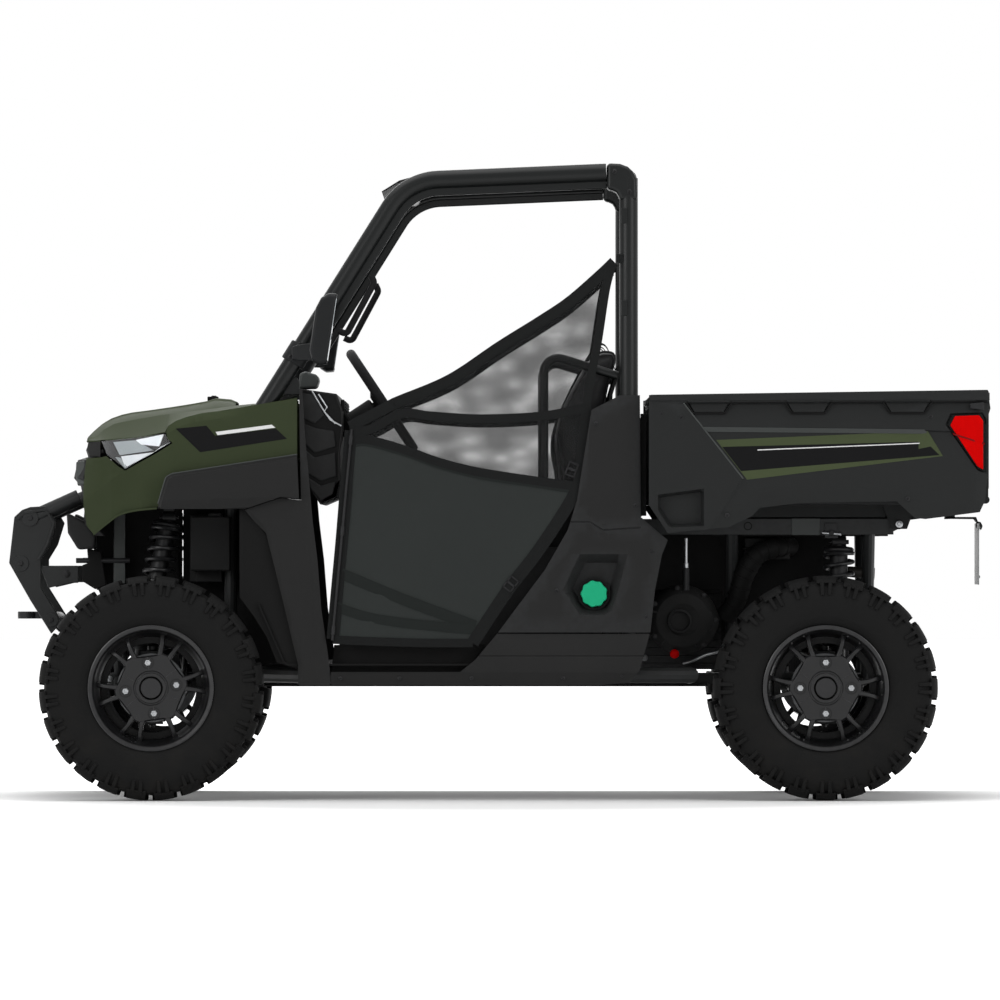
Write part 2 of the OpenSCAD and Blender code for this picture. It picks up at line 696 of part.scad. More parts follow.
module grab_handles() {
    color([0.07, 0.07, 0.07]) both_sides() leaned()
        bent_tube([[486, 0, 1434], [462, 0, 1424], [376, 0, 1582], [387, 0, 1604]], 14, 20);
}

module side_mirrors() {
    color([0.08, 0.08, 0.08]) both_sides() {
        leaned() difference() {
            rod([636, 0, 1322], [586, 0, 1402], cage_d + 18);
            rod([676, 0, 1258], [546, 0, 1466], cage_d + 1);
        }
        slab([[628, 1342], [606, 1386], [547, 1392], [547, 1340]], 692, 770);
        box([487, 738, 1326], [546, 866, 1545]);
    }
}

module along_steering() {
    translate(steer_hub) rotate([0, -steer_tilt, 0]) children();
}

module steering_column() {
    color([0.08, 0.08, 0.08]) along_steering() {
        translate([0, 0, -160]) cylinder(h = 132, r = 28);
        translate([0, 0, -40]) cylinder(h = 46, r = 12);
    }
}

module steering_wheel() {
    color([0.06, 0.06, 0.06]) along_steering() {
        rotate_extrude() translate([wheel_rim_r, 0]) circle(r = 15);
        difference() {
            translate([0, 0, -26]) cylinder(h = 34, r = 44);
            translate([0, 0, -27]) cylinder(h = 34, r = 12.05);
        }
        for (a = [0, 120, 240]) rotate([0, 0, a]) box([38, -16, -8], [wheel_rim_r - 8, 16, 2]);
    }
}

// A net door, with the rod that it swings on sewn into its front edge
module side_net() {
    color([0.1, 0.1, 0.1]) {
        translate([0, net_low[1], net_low[2]]) rotate([net_lean, 0, 0])
            translate([0, 0, -net_low[2]]) slab(net_line, -6, 0);
        rod(net_hinge[0], net_hinge[1], 9);
    }
}
module side_net_left() { side_net(); }
module side_net_right() { mirror([0, 1, 0]) side_net(); }

// ---- Cargo bed ----

module bed_floor() {
    half = bed_inner_y - wall_gap;
    color([0.09, 0.09, 0.09]) {
        box([-1446, -half, bed_floor_z - 22], [-516, half, bed_floor_z]);
        both_sides() {
            box([-1190, 428, 864], [-520, 472, 905]);
            // Hinge ear outside the frame's bed rail
            difference() {
                slab([[-1256, 828], [-1208, 828], [-1180, 905], [-1284, 905]], 480, 490);
                disc(bed_pivot_x, bed_pivot_z, 10.1, 470, 500);
            }
        }
    }
}

module bed_sides() {
    color([0.1, 0.1, 0.1]) both_sides() difference() {
        slab(bed_line, bed_inner_y, bed_outer_y);
        slab([for (p = tail_light_line) [-1436 + (p[0] + 1436) * 1.03, 1096 + (p[1] - 1096) * 1.015]],
            bed_outer_y - 24, bed_outer_y + 10);
    }
}

module bed_front_wall() {
    half = bed_inner_y - wall_gap;
    color([0.09, 0.09, 0.09]) box([-515, -half, bed_floor_z - 22], [-464, half, 1234]);
}

module tailgate() {
    half = bed_inner_y - 6;
    color([0.1, 0.1, 0.1]) {
        box([-1502, -half, bed_floor_z - 8], [-1456, half, 1244]);
        // Hinge barrel along the bottom edge
        disc(-1490, bed_floor_z - 8, 12, -half, half);
    }
}

module tail_lights() {
    color([0.7, 0.04, 0.05]) both_sides() slab(tail_light_line, bed_outer_y - 22, bed_outer_y + 2);
}

module plate_bracket() {
    color([0.1, 0.1, 0.1]) {
        box([-1492, -150, 654], [-1486, 150, 856]);
        slab([[-1390, 866], [-1486, 866], [-1492, 850], [-1486, 850], [-1480, 858], [-1390, 858]], -40, 40);
        box([-1420, -40, 860], [-1390, 40, 901]);
        box([-1506, -45, 825], [-1491, 45, 853]);
    }
}

// ---- Engine bay ----

module engine() {
    color([0.3, 0.3, 0.31]) box([engine_rear_x, -176, 392], [engine_front_x, 176, 795]);
}

module clutch_cover() {
    color([0.08, 0.08, 0.08]) {
        disc(-570, 548, 108, 176, 405);
        disc(-618, 548, 64, 176, 405);
        disc(-560, 545, 37, 404, 420);
    }
}

module exhaust() {
    color([0.2, 0.19, 0.18]) {
        disc(-975, 700, 80, -190, 250);
        bent_tube([[-1020, 215, 696], [-1090, 215, 696], [-1163, 215, 690]], 60, 36);
        bent_tube([[engine_rear_x - 1, -120, 640], [-885, -120, 640], [-925, -120, 700], [-965, -120, 700]],
            20, 44);
    }
}

frame();
front_tower();
bed_frame();
skid_plate();
hitch_receiver();
front_bumper();
front_fascia();
front_fenders();
fender_flares();
cowl_sides();
headlights();
hood();
radiator();
dashboard();
cabin_floor();
rocker_panels();
quarter_panels();
fuel_cap();
seat_box();
seat_cushions();
seat_backs();
cage_front();
cage_rear();
hip_bars();
grab_handles();
side_mirrors();
steering_column();
steering_wheel();
side_net_left();
side_net_right();
bed_floor();
bed_sides();
bed_front_wall();
tailgate();
tail_lights();
plate_bracket();
suspension_arms();
shocks();
front_knuckle_left();
front_knuckle_right();
steering_rack();
rear_hubs();
driveline();
engine();
clutch_cover();
exhaust();
tyre_front_left();
tyre_front_right();
tyre_rear_left();
tyre_rear_right();
rim_front_left();
rim_front_right();
rim_rear_left();
rim_rear_right();
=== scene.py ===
"""Looks of a side by side utility vehicle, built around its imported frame.

Shapes are written in millimetres in the frame's own axes: X forward, Y to the vehicle's
left, Z up, with the origin on the ground. Every mesh is scaled to metres as it is placed.
"""
import json
import random
from math import cos, hypot, pi, radians, sin, tan

import bmesh
import bpy
import numpy as np
from mathutils import Matrix, Vector

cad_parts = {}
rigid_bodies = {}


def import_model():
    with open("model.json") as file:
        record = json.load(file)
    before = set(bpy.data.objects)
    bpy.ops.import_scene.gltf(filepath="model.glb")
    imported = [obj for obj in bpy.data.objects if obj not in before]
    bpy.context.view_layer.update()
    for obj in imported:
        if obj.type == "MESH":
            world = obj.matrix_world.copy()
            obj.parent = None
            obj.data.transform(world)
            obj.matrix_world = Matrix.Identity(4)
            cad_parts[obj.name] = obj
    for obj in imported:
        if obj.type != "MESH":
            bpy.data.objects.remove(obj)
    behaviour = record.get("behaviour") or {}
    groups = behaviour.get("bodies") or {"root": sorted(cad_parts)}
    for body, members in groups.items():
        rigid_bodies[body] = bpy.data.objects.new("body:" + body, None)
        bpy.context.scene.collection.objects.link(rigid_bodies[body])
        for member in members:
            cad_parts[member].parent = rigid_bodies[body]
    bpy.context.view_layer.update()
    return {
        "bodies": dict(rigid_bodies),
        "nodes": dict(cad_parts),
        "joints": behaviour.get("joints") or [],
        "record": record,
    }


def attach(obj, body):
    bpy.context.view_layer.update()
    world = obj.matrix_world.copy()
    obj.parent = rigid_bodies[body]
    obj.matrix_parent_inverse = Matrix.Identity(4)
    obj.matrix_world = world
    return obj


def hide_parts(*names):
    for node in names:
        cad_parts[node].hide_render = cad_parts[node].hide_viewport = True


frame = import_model()

MM = 0.001
LEFT, UP = (0, 1, 0), (0, 0, 1)
FRONT_AXLE, REAR_AXLE, TYRE_R = 1057, -1000, 342.5
TYRE_OUTER = 790
CAGE_BASE_Y, CAGE_BASE_Z, CAGE_LEAN = 668, 1190, radians(3.9)
NET_LEAN = radians(2.8)


# ---- Shapes ----

def unit(v):
    return Vector(v).normalized()


def extrude(points, step):
    """A prism: one outline of 3-D points carried along one step."""
    bm = bmesh.new()
    near = [bm.verts.new(p) for p in points]
    far = [bm.verts.new(Vector(p) + Vector(step)) for p in points]
    bm.faces.new(near)
    bm.faces.new(far[::-1])
    for i in range(len(near)):
        j = (i + 1) % len(near)
        bm.faces.new((near[i], far[i], far[j], near[j]))
    return bm


def slab(outline, y_low, y_high):
    """A side-view outline in X and Z, between two Y planes."""
    return extrude([(x, y_low, z) for x, z in outline], (0, y_high - y_low, 0))


def wall(outline, x_low, x_high):
    """A front-view outline in Y and Z, between two X planes."""
    return extrude([(x_low, y, z) for y, z in outline], (x_high - x_low, 0, 0))


def block(low, high):
    (x0, y0, z0), (x1, y1, z1) = low, high
    return slab([(x0, z0), (x1, z0), (x1, z1), (x0, z1)], y0, y1)


def joined(*parts):
    """Several meshes as one."""
    whole = bmesh.new()
    for part in parts:
        mesh = bpy.data.meshes.new("part")
        part.to_mesh(mesh)
        part.free()
        whole.from_mesh(mesh)
        bpy.data.meshes.remove(mesh)
    return whole


def moved(bm, matrix):
    bm.transform(matrix)
    return bm


def mirrored(bm):
    return moved(bm, Matrix.Scale(-1, 4, LEFT))


def doubled(bm):
    """The mesh and its mirror image on the other side, as one."""
    return joined(bm.copy(), mirrored(bm))


def bend(points, radius, steps=6):
    """A line through points, with each inner corner rounded to one radius."""
    points = [Vector(p) for p in points]
    line = [points[0]]
    for before, at, after in zip(points, points[1:], points[2:]):
        u, v = (at - before).normalized(), (after - at).normalized()
        turn = u.angle(v)
        if turn < 0.01:
            line.append(at)
            continue
        reach = min(radius * tan(turn / 2), (at - before).length * 0.49, (after - at).length * 0.49)
        r = reach / tan(turn / 2)
        w = (v - u * u.dot(v)).normalized()
        centre = at - u * reach + w * r
        for k in range(steps + 1):
            a = turn * k / steps
            line.append(centre - w * r * cos(a) + u * r * sin(a))
    line.append(points[-1])
    return line


def smooth(points, steps=6, closed=False):
    """A smooth curve through points."""
    points = [Vector(p) for p in points]
    n = len(points)
    get = (lambda i: points[i % n]) if closed else (lambda i: points[min(max(i, 0), n - 1)])
    line = []
    for i in range(n if closed else n - 1):
        a, b, c, d = get(i - 1), get(i), get(i + 1), get(i + 2)
        for k in range(steps):
            t = k / steps
            line.append(0.5 * (2 * b + (c - a) * t + (2 * a - 5 * b + 4 * c - d) * t * t
                + (3 * b - a - 3 * c + d) * t ** 3))
    return line if closed else line + [points[-1]]


def sweep(line, section, closed=False):
    """A section of (sideways, up) points carried along a line without twisting."""
    line = [Vector(p) for p in line]
    n = len(line)
    tangents = []
    for i in range(n):
        a = line[i - 1] if closed else line[max(i - 1, 0)]
        b = line[(i + 1) % n] if closed else line[min(i + 1, n - 1)]
        tangents.append((b - a).normalized())
    up = Vector(LEFT) if abs(tangents[0].y) < 0.9 else Vector(UP)
    up = (up - tangents[0] * up.dot(tangents[0])).normalized()
    bm = bmesh.new()
    rings = []
    for p, t in zip(line, tangents):
        up = (up - t * up.dot(t)).normalized()
        side = t.cross(up)
        rings.append([bm.verts.new(p + side * a + up * b) for a, b in section])
    m = len(section)
    for i in range(n if closed else n - 1):
        this, following = rings[i], rings[(i + 1) % n]
        for j in range(m):
            k = (j + 1) % m
            bm.faces.new((this[j], this[k], following[k], following[j]))
    if not closed:
        bm.faces.new(rings[0][::-1])
        bm.faces.new(rings[-1])
    return bm


def circle(d, sides=16):
    return [(d / 2 * cos(2 * pi * k / sides), d / 2 * sin(2 * pi * k / sides)) for k in range(sides)]


def tube(line, d, sides=16, closed=False):
    return sweep(line, circle(d, sides), closed)


def strap(line, width, thickness):
    """A flat band along a line, its width across the view from the side."""
    w, t = width / 2, thickness / 2
    return sweep(line, [(-w, -t), (w, -t), (w, t), (-w, t)])


def towards(at, direction):
    """A place whose own Z points in a direction."""
    return Matrix.Translation(Vector(at)) @ Vector(direction).to_track_quat("Z", "Y").to_matrix().to_4x4()


def turned(profile, at, direction, steps=48, closed=False):
    """A turned part: (radius, height) points spun about an axis through at."""
    bm = bmesh.new()
    rings = []
    for r, h in profile:
        if r == 0:
            rings.append([bm.verts.new((0, 0, h))])
        else:
            angles = [2 * pi * k / steps for k in range(steps)]
            rings.append([bm.verts.new((r * cos(a), r * sin(a), h)) for a in angles])
    pairs = list(zip(rings, rings[1:])) + ([(rings[-1], rings[0])] if closed else [])
    for low, high in pairs:
        for k in range(steps):
            j = (k + 1) % steps
            corner = [low[k % len(low)], low[j % len(low)], high[j % len(high)], high[k % len(high)]]
            face = [v for i, v in enumerate(corner) if v not in corner[:i]]
            if len(face) > 2:
                bm.faces.new(face)
    return moved(bm, towards(at, direction))


def hoop(profile, at, direction, steps):
    """A turned part whose profile closes on itself."""
    return turned(profile, at, direction, steps, closed=True)


def rod(a, b, d, steps=20, chamfer=1.0):
    """A round bar between two points, with chamfered ends."""
    a, b = Vector(a), Vector(b)
    h, r = (b - a).length, d / 2
    c = min(chamfer, r * 0.4, h * 0.2)
    return turned([(0, 0), (r - c, 0), (r, c), (r, h - c), (r - c, h), (0, h)], a, b - a, steps)


def coil(a, b, d, wire, turns):
    """A coil spring between two points, closed and ground at both ends."""
    a, b = Vector(a), Vector(b)
    place, h = towards(a, b - a), (b - a).length
    per_turn = 20
    line = []
    for k in range(int(turns * per_turn) + 1):
        t = k / (turns * per_turn)
        rise = wire / 2 + (h - wire) * min(max((t * turns - 0.8) / (turns - 1.6), 0), 1)
        rise += wire * (min(t * turns, 0.8) - 0.8) * 0.6 + wire * max(t * turns - turns + 0.8, 0) * 0.6
        angle = 2 * pi * turns * t
        line.append(place @ Vector((d / 2 * cos(angle), d / 2 * sin(angle), rise)))
    return tube(line, wire, 8)


def bolt(at, direction, d=10.0, socket=False):
    """A flanged bolt head, hexagonal or with a domed button."""
    washer = turned([(0, 0), (d * 0.95, 0), (d * 0.95, d * 0.12), (d * 0.8, d * 0.2), (0, d * 0.2)], at,
        direction, 20)
    if socket:
        dome = [(0, d * 0.2), (d * 0.7, d * 0.2), (d * 0.66, d * 0.5), (d * 0.42, d * 0.72),
            (d * 0.3, d * 0.74), (d * 0.26, d * 0.4), (0, d * 0.4)]
        return joined(washer, turned(dome, at, direction, 16))
    head = [(0, d * 0.2), (d * 0.62, d * 0.2), (d * 0.62, d * 0.68), (d * 0.5, d * 0.78), (0, d * 0.78)]
    return joined(washer, turned(head, at, direction, 6))


def bolts(places, direction, d=10.0, socket=False):
    return joined(*[bolt(p, direction, d, socket) for p in places])


def loft(rows, thickness=None, closed=False):
    """A skin through rows of points. With a thickness vector it becomes a thin closed shell."""
    bm = bmesh.new()
    grid = [[bm.verts.new(p) for p in row] for row in rows]
    n = len(rows[0])
    for low, high in zip(grid, grid[1:]):
        for k in range(n if closed else n - 1):
            j = (k + 1) % n
            bm.faces.new((low[k], low[j], high[j], high[k]))
    return shell(bm, thickness) if thickness else bm


def shell(bm, step):
    """Gives an open skin its thickness, by one step."""
    made = bmesh.ops.extrude_face_region(bm, geom=bm.faces[:], use_keep_orig=True)
    new = [g for g in made["geom"] if isinstance(g, bmesh.types.BMVert)]
    bmesh.ops.translate(bm, verts=new, vec=Vector(step))
    return bm


def capped_loft(rows):
    """A closed tube of rows, closed at both ends."""
    bm = loft(rows, closed=True)
    bm.verts.ensure_lookup_table()
    n = len(rows[0])
    bm.faces.new(bm.verts[:n])
    bm.faces.new(bm.verts[-n:][::-1])
    return bm


def lines_of(outline):
    return list(zip(outline, outline[1:] + outline[:1]))


def inward(outline):
    """For each edge of a convex side-view outline: a point on it and its inward direction."""
    area = sum(a[0] * b[1] - b[0] * a[1] for a, b in lines_of(outline))
    sign = 1 if area > 0 else -1
    edges = []
    for a, b in lines_of(outline):
        length = hypot(b[0] - a[0], b[1] - a[1])
        edges.append((a, (-(b[1] - a[1]) / length * sign, (b[0] - a[0]) / length * sign)))
    return edges


def depth_inside(outline, x, z):
    """How far points lie inside a convex outline, less than 0 outside it."""
    return np.min([(x - a[0]) * n[0] + (z - a[1]) * n[1] for a, n in inward(outline)], axis=0)


def shrunk(outline, by):
    """A convex outline moved inward on every edge."""
    edges = inward(outline)
    points = []
    for (a, n), (b, m) in zip(edges[-1:] + edges[:-1], edges):
        cross = n[0] * m[1] - n[1] * m[0]
        if abs(cross) < 1e-6:
            points.append((b[0] + m[0] * by, b[1] + m[1] * by))
            continue
        p = n[0] * a[0] + n[1] * a[1] + by
        q = m[0] * b[0] + m[1] * b[1] + by
        points.append(((p * m[1] - q * n[1]) / cross, (q * n[0] - p * m[0]) / cross))
    return points


def cut(bm, a, b):
    """Cuts the flat mesh along one side-view segment."""
    margin = 2
    low = (min(a[0], b[0]) - margin, min(a[1], b[1]) - margin)
    high = (max(a[0], b[0]) + margin, max(a[1], b[1]) + margin)
    faces = []
    for f in bm.faces:
        xs = [v.co.x for v in f.verts]
        zs = [v.co.z for v in f.verts]
        if max(xs) > low[0] and min(xs) < high[0] and max(zs) > low[1] and min(zs) < high[1]:
            faces.append(f)
    if not faces:
        return
    geometry = list({e for f in faces for e in f.edges} | {v for f in faces for v in f.verts}) + faces
    normal = (-(b[1] - a[1]), 0, b[0] - a[0])
    bmesh.ops.bisect_plane(bm, geom=geometry, dist=0.05, plane_co=(a[0], 0, a[1]), plane_no=normal)


def flat(outline, grid=None):
    """A side-view outline as one face in the X-Z plane, cut into squares when a grid is given."""
    bm = bmesh.new()
    bm.faces.new([bm.verts.new((x, 0, z)) for x, z in outline])
    if grid:
        xs, zs = [p[0] for p in outline], [p[1] for p in outline]
        for k in range(1, int((max(xs) - min(xs)) / grid) + 1):
            cut(bm, (min(xs) + k * grid, min(zs)), (min(xs) + k * grid, max(zs)))
        for k in range(1, int((max(zs) - min(zs)) / grid) + 1):
            cut(bm, (min(xs), min(zs) + k * grid), (max(xs), min(zs) + k * grid))
    return bm


def draped(bm, depth, thickness):
    """Carries a flat mesh out to depth(x, z) and gives it its thickness."""
    co = np.array([v.co for v in bm.verts])
    for v, y in zip(bm.verts, depth(co[:, 0], co[:, 2])):
        v.co.y = y
    return shell(bm, (0, -thickness, 0))


def scaled(outline, by_x, by_z):
    """An outline scaled about the mean of its points."""
    cx = sum(p[0] for p in outline) / len(outline)
    cz = sum(p[1] for p in outline) / len(outline)
    return [(cx + (x - cx) * by_x, cz + (z - cz) * by_z) for x, z in outline]


def panel(outline, depth, features=(), thickness=5.0, grid=40.0, creases=()):
    """A moulded side panel: an outline whose convex features rise or sink over a soft edge.

    depth is a function of x and z. Each feature is (outline, rise, width of its slope),
    and creases are lines where the surface may fold.
    """
    bm = flat(outline, grid)
    for shape, rise, width in features:
        for a, b in lines_of(shape) + lines_of(shrunk(shape, width)):
            cut(bm, a, b)
    for a, b in creases:
        cut(bm, a, b)

    def raised(x, z):
        height = depth(x, z)
        for shape, rise, width in features:
            height = height + rise * np.clip(depth_inside(shape, x, z) / width, 0, 1)
        return height

    return draped(bm, raised, thickness)


def groove(a, b, width=5.0, depth=2.5):
    """A seam between two panels, as a feature."""
    u = (Vector(b) - Vector(a)).normalized() * width / 2
    n = Vector((-u.y, u.x))
    corners = [Vector(a) - n, Vector(b) - n, Vector(b) + n, Vector(a) + n]
    return [tuple(c) for c in corners], -depth, width * 0.42


def grooves(line, width=5.0, depth=2.5):
    return [groove(a, b, width, depth) for a, b in zip(line, line[1:])]


def leaned(bm):
    """Tips a mesh that is drawn in the upright X-Z plane inward about a line along X."""
    place = Matrix.Translation((0, CAGE_BASE_Y, CAGE_BASE_Z)) @ Matrix.Rotation(CAGE_LEAN, 4, "X")
    return moved(bm, place @ Matrix.Translation((0, 0, -CAGE_BASE_Z)))


def around(x, y, z, radius, degrees):
    """Places on a circle about an axis along Y, one for each angle."""
    angles = [radians(a) for a in degrees]
    return [(x + radius * cos(a), y, z + radius * sin(a)) for a in angles]


# ---- Placing pieces ----

def rounded(obj, width, segments, angle):
    edge = obj.modifiers.new("edges", "BEVEL")
    edge.width = width * MM
    edge.segments = segments
    edge.limit_method = "ANGLE"
    edge.angle_limit = radians(angle)
    edge.use_clamp_overlap = True


def linked(name, data):
    """A new object in the scene."""
    obj = bpy.data.objects.new(name, data)
    bpy.context.scene.collection.objects.link(obj)
    return obj


def piece(name, bm, finish, body="chassis", bevel=0.0, segments=2, angle=32, node=None):
    """Turns a mesh in millimetres, or a list of them, into a shown piece with one finish, on one body."""
    if isinstance(bm, list):
        bm = joined(*bm)
    bmesh.ops.remove_doubles(bm, verts=bm.verts, dist=0.001)
    bmesh.ops.recalc_face_normals(bm, faces=bm.faces)
    bm.transform(Matrix.Scale(MM, 4))
    mesh = bpy.data.meshes.new(name)
    bm.to_mesh(mesh)
    bm.free()
    mesh.materials.append(FINISHES[finish])
    mesh.polygons.foreach_set("use_smooth", [True] * len(mesh.polygons))
    obj = linked(name, mesh)
    if bevel:
        rounded(obj, bevel, segments, angle)
        obj.modifiers.new("shading", "WEIGHTED_NORMAL")
    else:
        mesh.set_sharp_from_angle(angle=radians(angle))
    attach(obj, body)
    if node:
        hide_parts(node)
    return obj


def pair(name, bm, finish, body="chassis", node=None, **look):
    """The piece on the left and its mirror image on the right."""
    if isinstance(bm, list):
        bm = joined(*bm)
    other = mirrored(bm.copy())
    piece(f"{name}_left", bm, finish, body, node=node, **look)
    piece(f"{name}_right", other, finish, body, **look)


def keep_node(name, finish, bevel=0.0):
    """Gives a carried-over node its finish, with its edges rounded."""
    obj = frame["nodes"][name]
    obj.data.materials.clear()
    obj.data.materials.append(FINISHES[finish])
    if bevel:
        obj.modifiers.new("weld", "WELD").merge_threshold = 0.00001
        rounded(obj, bevel, 2, 35)


def lookup(x, line):
    """Height or width at x along a line of (x, value) points in any order."""
    ordered = sorted(line)
    return np.interp(x, [p[0] for p in ordered], [p[1] for p in ordered])


# ---- Finishes ----

def srgb(r, g, b):
    """Display values from 0 to 255 as a linear colour."""
    return tuple((c / 255 / 12.92) if c < 10.5 else ((c / 255 + 0.055) / 1.055) ** 2.4
        for c in (r, g, b)) + (1.0,)


def effect(name, inputs, outputs, build):
    """A node group that several finishes share."""
    group = bpy.data.node_groups.new(name, "ShaderNodeTree")
    for label, value in inputs.items():
        kind = "NodeSocketColor" if isinstance(value, tuple) else "NodeSocketFloat"
        group.interface.new_socket(label, in_out="INPUT", socket_type=kind).default_value = value
    for label, kind in outputs.items():
        group.interface.new_socket(label, in_out="OUTPUT", socket_type=kind)
    start, end = group.nodes.new("NodeGroupInput"), group.nodes.new("NodeGroupOutput")
    build(group, start, end)
    return group


def add(tree, kind, links=None, **settings):
    """One node, with its settings, input values and incoming links."""
    node = tree.nodes.new("ShaderNode" + kind)
    for key, value in settings.items():
        setattr(node, key, value)
    for key, value in (links or {}).items():
        if isinstance(value, bpy.types.NodeSocket):
            tree.links.new(value, node.inputs[key])
        else:
            node.inputs[key].default_value = value
    return node


def maths(tree, operation, *values, **settings):
    return add(tree, "Math", dict(enumerate(values)), operation=operation, **settings).outputs[0]


def ranged(tree, value, low, high, to_low=0.0, to_high=1.0, **settings):
    """A value carried from one range to another."""
    links = {"Value": value, "From Min": low, "From Max": high, "To Min": to_low, "To Max": to_high}
    return add(tree, "MapRange", links, **settings).outputs[0]


def object_place(tree):
    return add(tree, "TexCoord").outputs["Object"]


def make_grain(group, start, end):
    at = {"Vector": object_place(group), "Scale": start.outputs["Scale"]}
    fine = add(group, "TexNoise", at | {"Detail": 3.0})
    pits = add(group, "TexVoronoi", at)
    both = maths(group, "ADD", fine.outputs["Fac"], pits.outputs["Distance"])
    group.links.new(both, end.inputs["Height"])


def make_mottle(group, start, end):
    at = {"Vector": object_place(group), "Scale": start.outputs["Scale"]}
    broad = add(group, "TexNoise", at | {"Detail": 4.0, "Roughness": 0.6})
    swing = ranged(group, broad.outputs["Fac"], 0.3, 0.7, -0.5, 0.5)
    value = maths(group, "ADD", maths(group, "MULTIPLY", swing, start.outputs["Spread"]), 1.0)
    tint = add(group, "HueSaturation", {"Value": value, "Color": start.outputs["Color"]})
    group.links.new(tint.outputs[0], end.inputs["Color"])
    group.links.new(swing, end.inputs["Swing"])


def make_edge_wear_and_highlight(group, start, end):
    # Sharp edges, in noisy spots: partly worn edges, partly a painted highlight where edges would catch the
    # light.
    ridge = ranged(group, add(group, "NewGeometry").outputs["Pointiness"], 0.52, 0.62)
    spots = add(group, "TexNoise", {"Vector": object_place(group), "Scale": 60.0, "Detail": 4.0})
    mixed = maths(group, "MULTIPLY", ridge, spots.outputs["Fac"])
    amount = maths(group, "MULTIPLY", mixed, start.outputs["Amount"], use_clamp=True)
    group.links.new(amount, end.inputs["Mask"])


def make_dust(group, start, end):
    place = object_place(group)
    height = add(group, "SeparateXYZ", {0: place}).outputs["Z"]
    low = ranged(group, height, start.outputs["Top"], 0.0)
    drift = add(group, "TexNoise", {"Vector": place, "Scale": 14.0, "Detail": 5.0})
    both = maths(group, "MULTIPLY", low, ranged(group, drift.outputs["Fac"], 0.42, 0.7))
    amount = maths(group, "MULTIPLY", both, start.outputs["Amount"], use_clamp=True)
    group.links.new(amount, end.inputs["Mask"])


def make_weave(group, start, end):
    """Over-and-under threads in X and Z, seen from the side."""
    axes = add(group, "SeparateXYZ", {0: object_place(group)})
    waves = []
    for axis, phase in (("X", 0.0), ("Z", 1.57)):
        scaled_up = maths(group, "MULTIPLY", axes.outputs[axis], start.outputs["Threads"])
        waves.append(maths(group, "SINE", maths(group, "ADD", scaled_up, phase)))
    height = ranged(group, maths(group, "MULTIPLY", *waves), -1.0, 1.0)
    group.links.new(height, end.inputs["Height"])


GRAIN = effect("moulded_grain", {"Scale": 900.0}, {"Height": "NodeSocketFloat"}, make_grain)
MOTTLE = effect("colour_drift", {"Color": (0.5, 0.5, 0.5, 1.0), "Scale": 4.0, "Spread": 0.1},
    {"Color": "NodeSocketColor", "Swing": "NodeSocketFloat"}, make_mottle)
WEAR_AND_HIGHLIGHT = effect("edge_wear_and_highlight", {"Amount": 0.5}, {"Mask": "NodeSocketFloat"}, make_edge_wear_and_highlight)
DUST = effect("road_dust", {"Top": 0.6, "Amount": 0.2}, {"Mask": "NodeSocketFloat"}, make_dust)
WEAVE = effect("weave", {"Threads": 2400.0}, {"Height": "NodeSocketFloat"}, make_weave)

FINISHES = {}


def shared(tree, group, **values):
    return add(tree, "Group", values, node_tree=group)


def blended(tree, factor, a, b):
    """Two colours mixed: inputs 0, 6 and 7 are the mix node's factor and colours, output 2 its colour."""
    return add(tree, "Mix", {0: factor, 6: a, 7: b}, data_type="RGBA").outputs[2]


def material_of(name, slot, **inputs):
    """A new finish with the plain inputs of its shader; it joins the shared finishes when a slot is given,
    but the slot's name is not kept.
    """
    material = bpy.data.materials.new(name)
    material.use_nodes = True
    shader = material.node_tree.nodes["Principled BSDF"]
    for label, value in inputs.items():
        shader.inputs[label.replace("_", " ")].default_value = value
    if slot:
        FINISHES[name] = material
    return material, material.node_tree, shader


def surface(name, slot, colour, rough, specular=0.3, grain=(900, 0.12), mottle=(4, 0.12), metal=0.0,
        worn_and_lit_edges=(0.0, (60, 60, 60)), dust=0.0, sheen=0.0, weave=None, rough_swing=0.08):
    """An opaque finish: drifting colour, lighter sharp edges that are partly wear and partly a painted
    highlight, dust low down, and grain or weave as bump.
    """
    _, tree, shader = material_of(name, slot, Metallic=metal, Specular_IOR_Level=specular,
        Sheen_Weight=sheen)
    base = shared(tree, MOTTLE, Color=srgb(*colour), Scale=mottle[0], Spread=mottle[1])
    tint = base.outputs["Color"]
    # Sharp edges take a lighter colour: partly wear, partly a painted highlight.
    if worn_and_lit_edges[0]:
        wear_and_highlight = shared(tree, WEAR_AND_HIGHLIGHT, Amount=worn_and_lit_edges[0])
        tint = blended(tree, wear_and_highlight.outputs["Mask"], tint, srgb(*worn_and_lit_edges[1]))
    if dust:
        low = shared(tree, DUST, Amount=dust)
        tint = blended(tree, low.outputs["Mask"], tint, srgb(112, 104, 92))
    tree.links.new(tint, shader.inputs["Base Color"])
    swing = maths(tree, "MULTIPLY_ADD", base.outputs["Swing"], rough_swing, rough)
    tree.links.new(swing, shader.inputs["Roughness"])
    if weave:
        relief, strength = shared(tree, WEAVE, Threads=weave[0]), weave[1]
    else:
        relief, strength = shared(tree, GRAIN, Scale=grain[0]), grain[1]
    bump = add(tree, "Bump", {"Height": relief.outputs[0], "Strength": strength, "Distance": 0.0006})
    tree.links.new(bump.outputs[0], shader.inputs["Normal"])
    return tree, shader


def clear_plastic(name, slot, colour, rough, transmission):
    _, tree, shader = material_of(name, slot, Metallic=0.0, IOR=1.49, Transmission_Weight=transmission)
    base = shared(tree, MOTTLE, Color=srgb(*colour), Scale=20.0, Spread=0.05)
    tree.links.new(base.outputs["Color"], shader.inputs["Base Color"])
    haze = maths(tree, "MULTIPLY_ADD", base.outputs["Swing"], 0.03, rough)
    tree.links.new(haze, shader.inputs["Roughness"])
    relief = shared(tree, GRAIN, Scale=300.0)
    bump = add(tree, "Bump", {"Height": relief.outputs[0], "Strength": 0.02, "Distance": 0.0003})
    tree.links.new(bump.outputs[0], shader.inputs["Normal"])


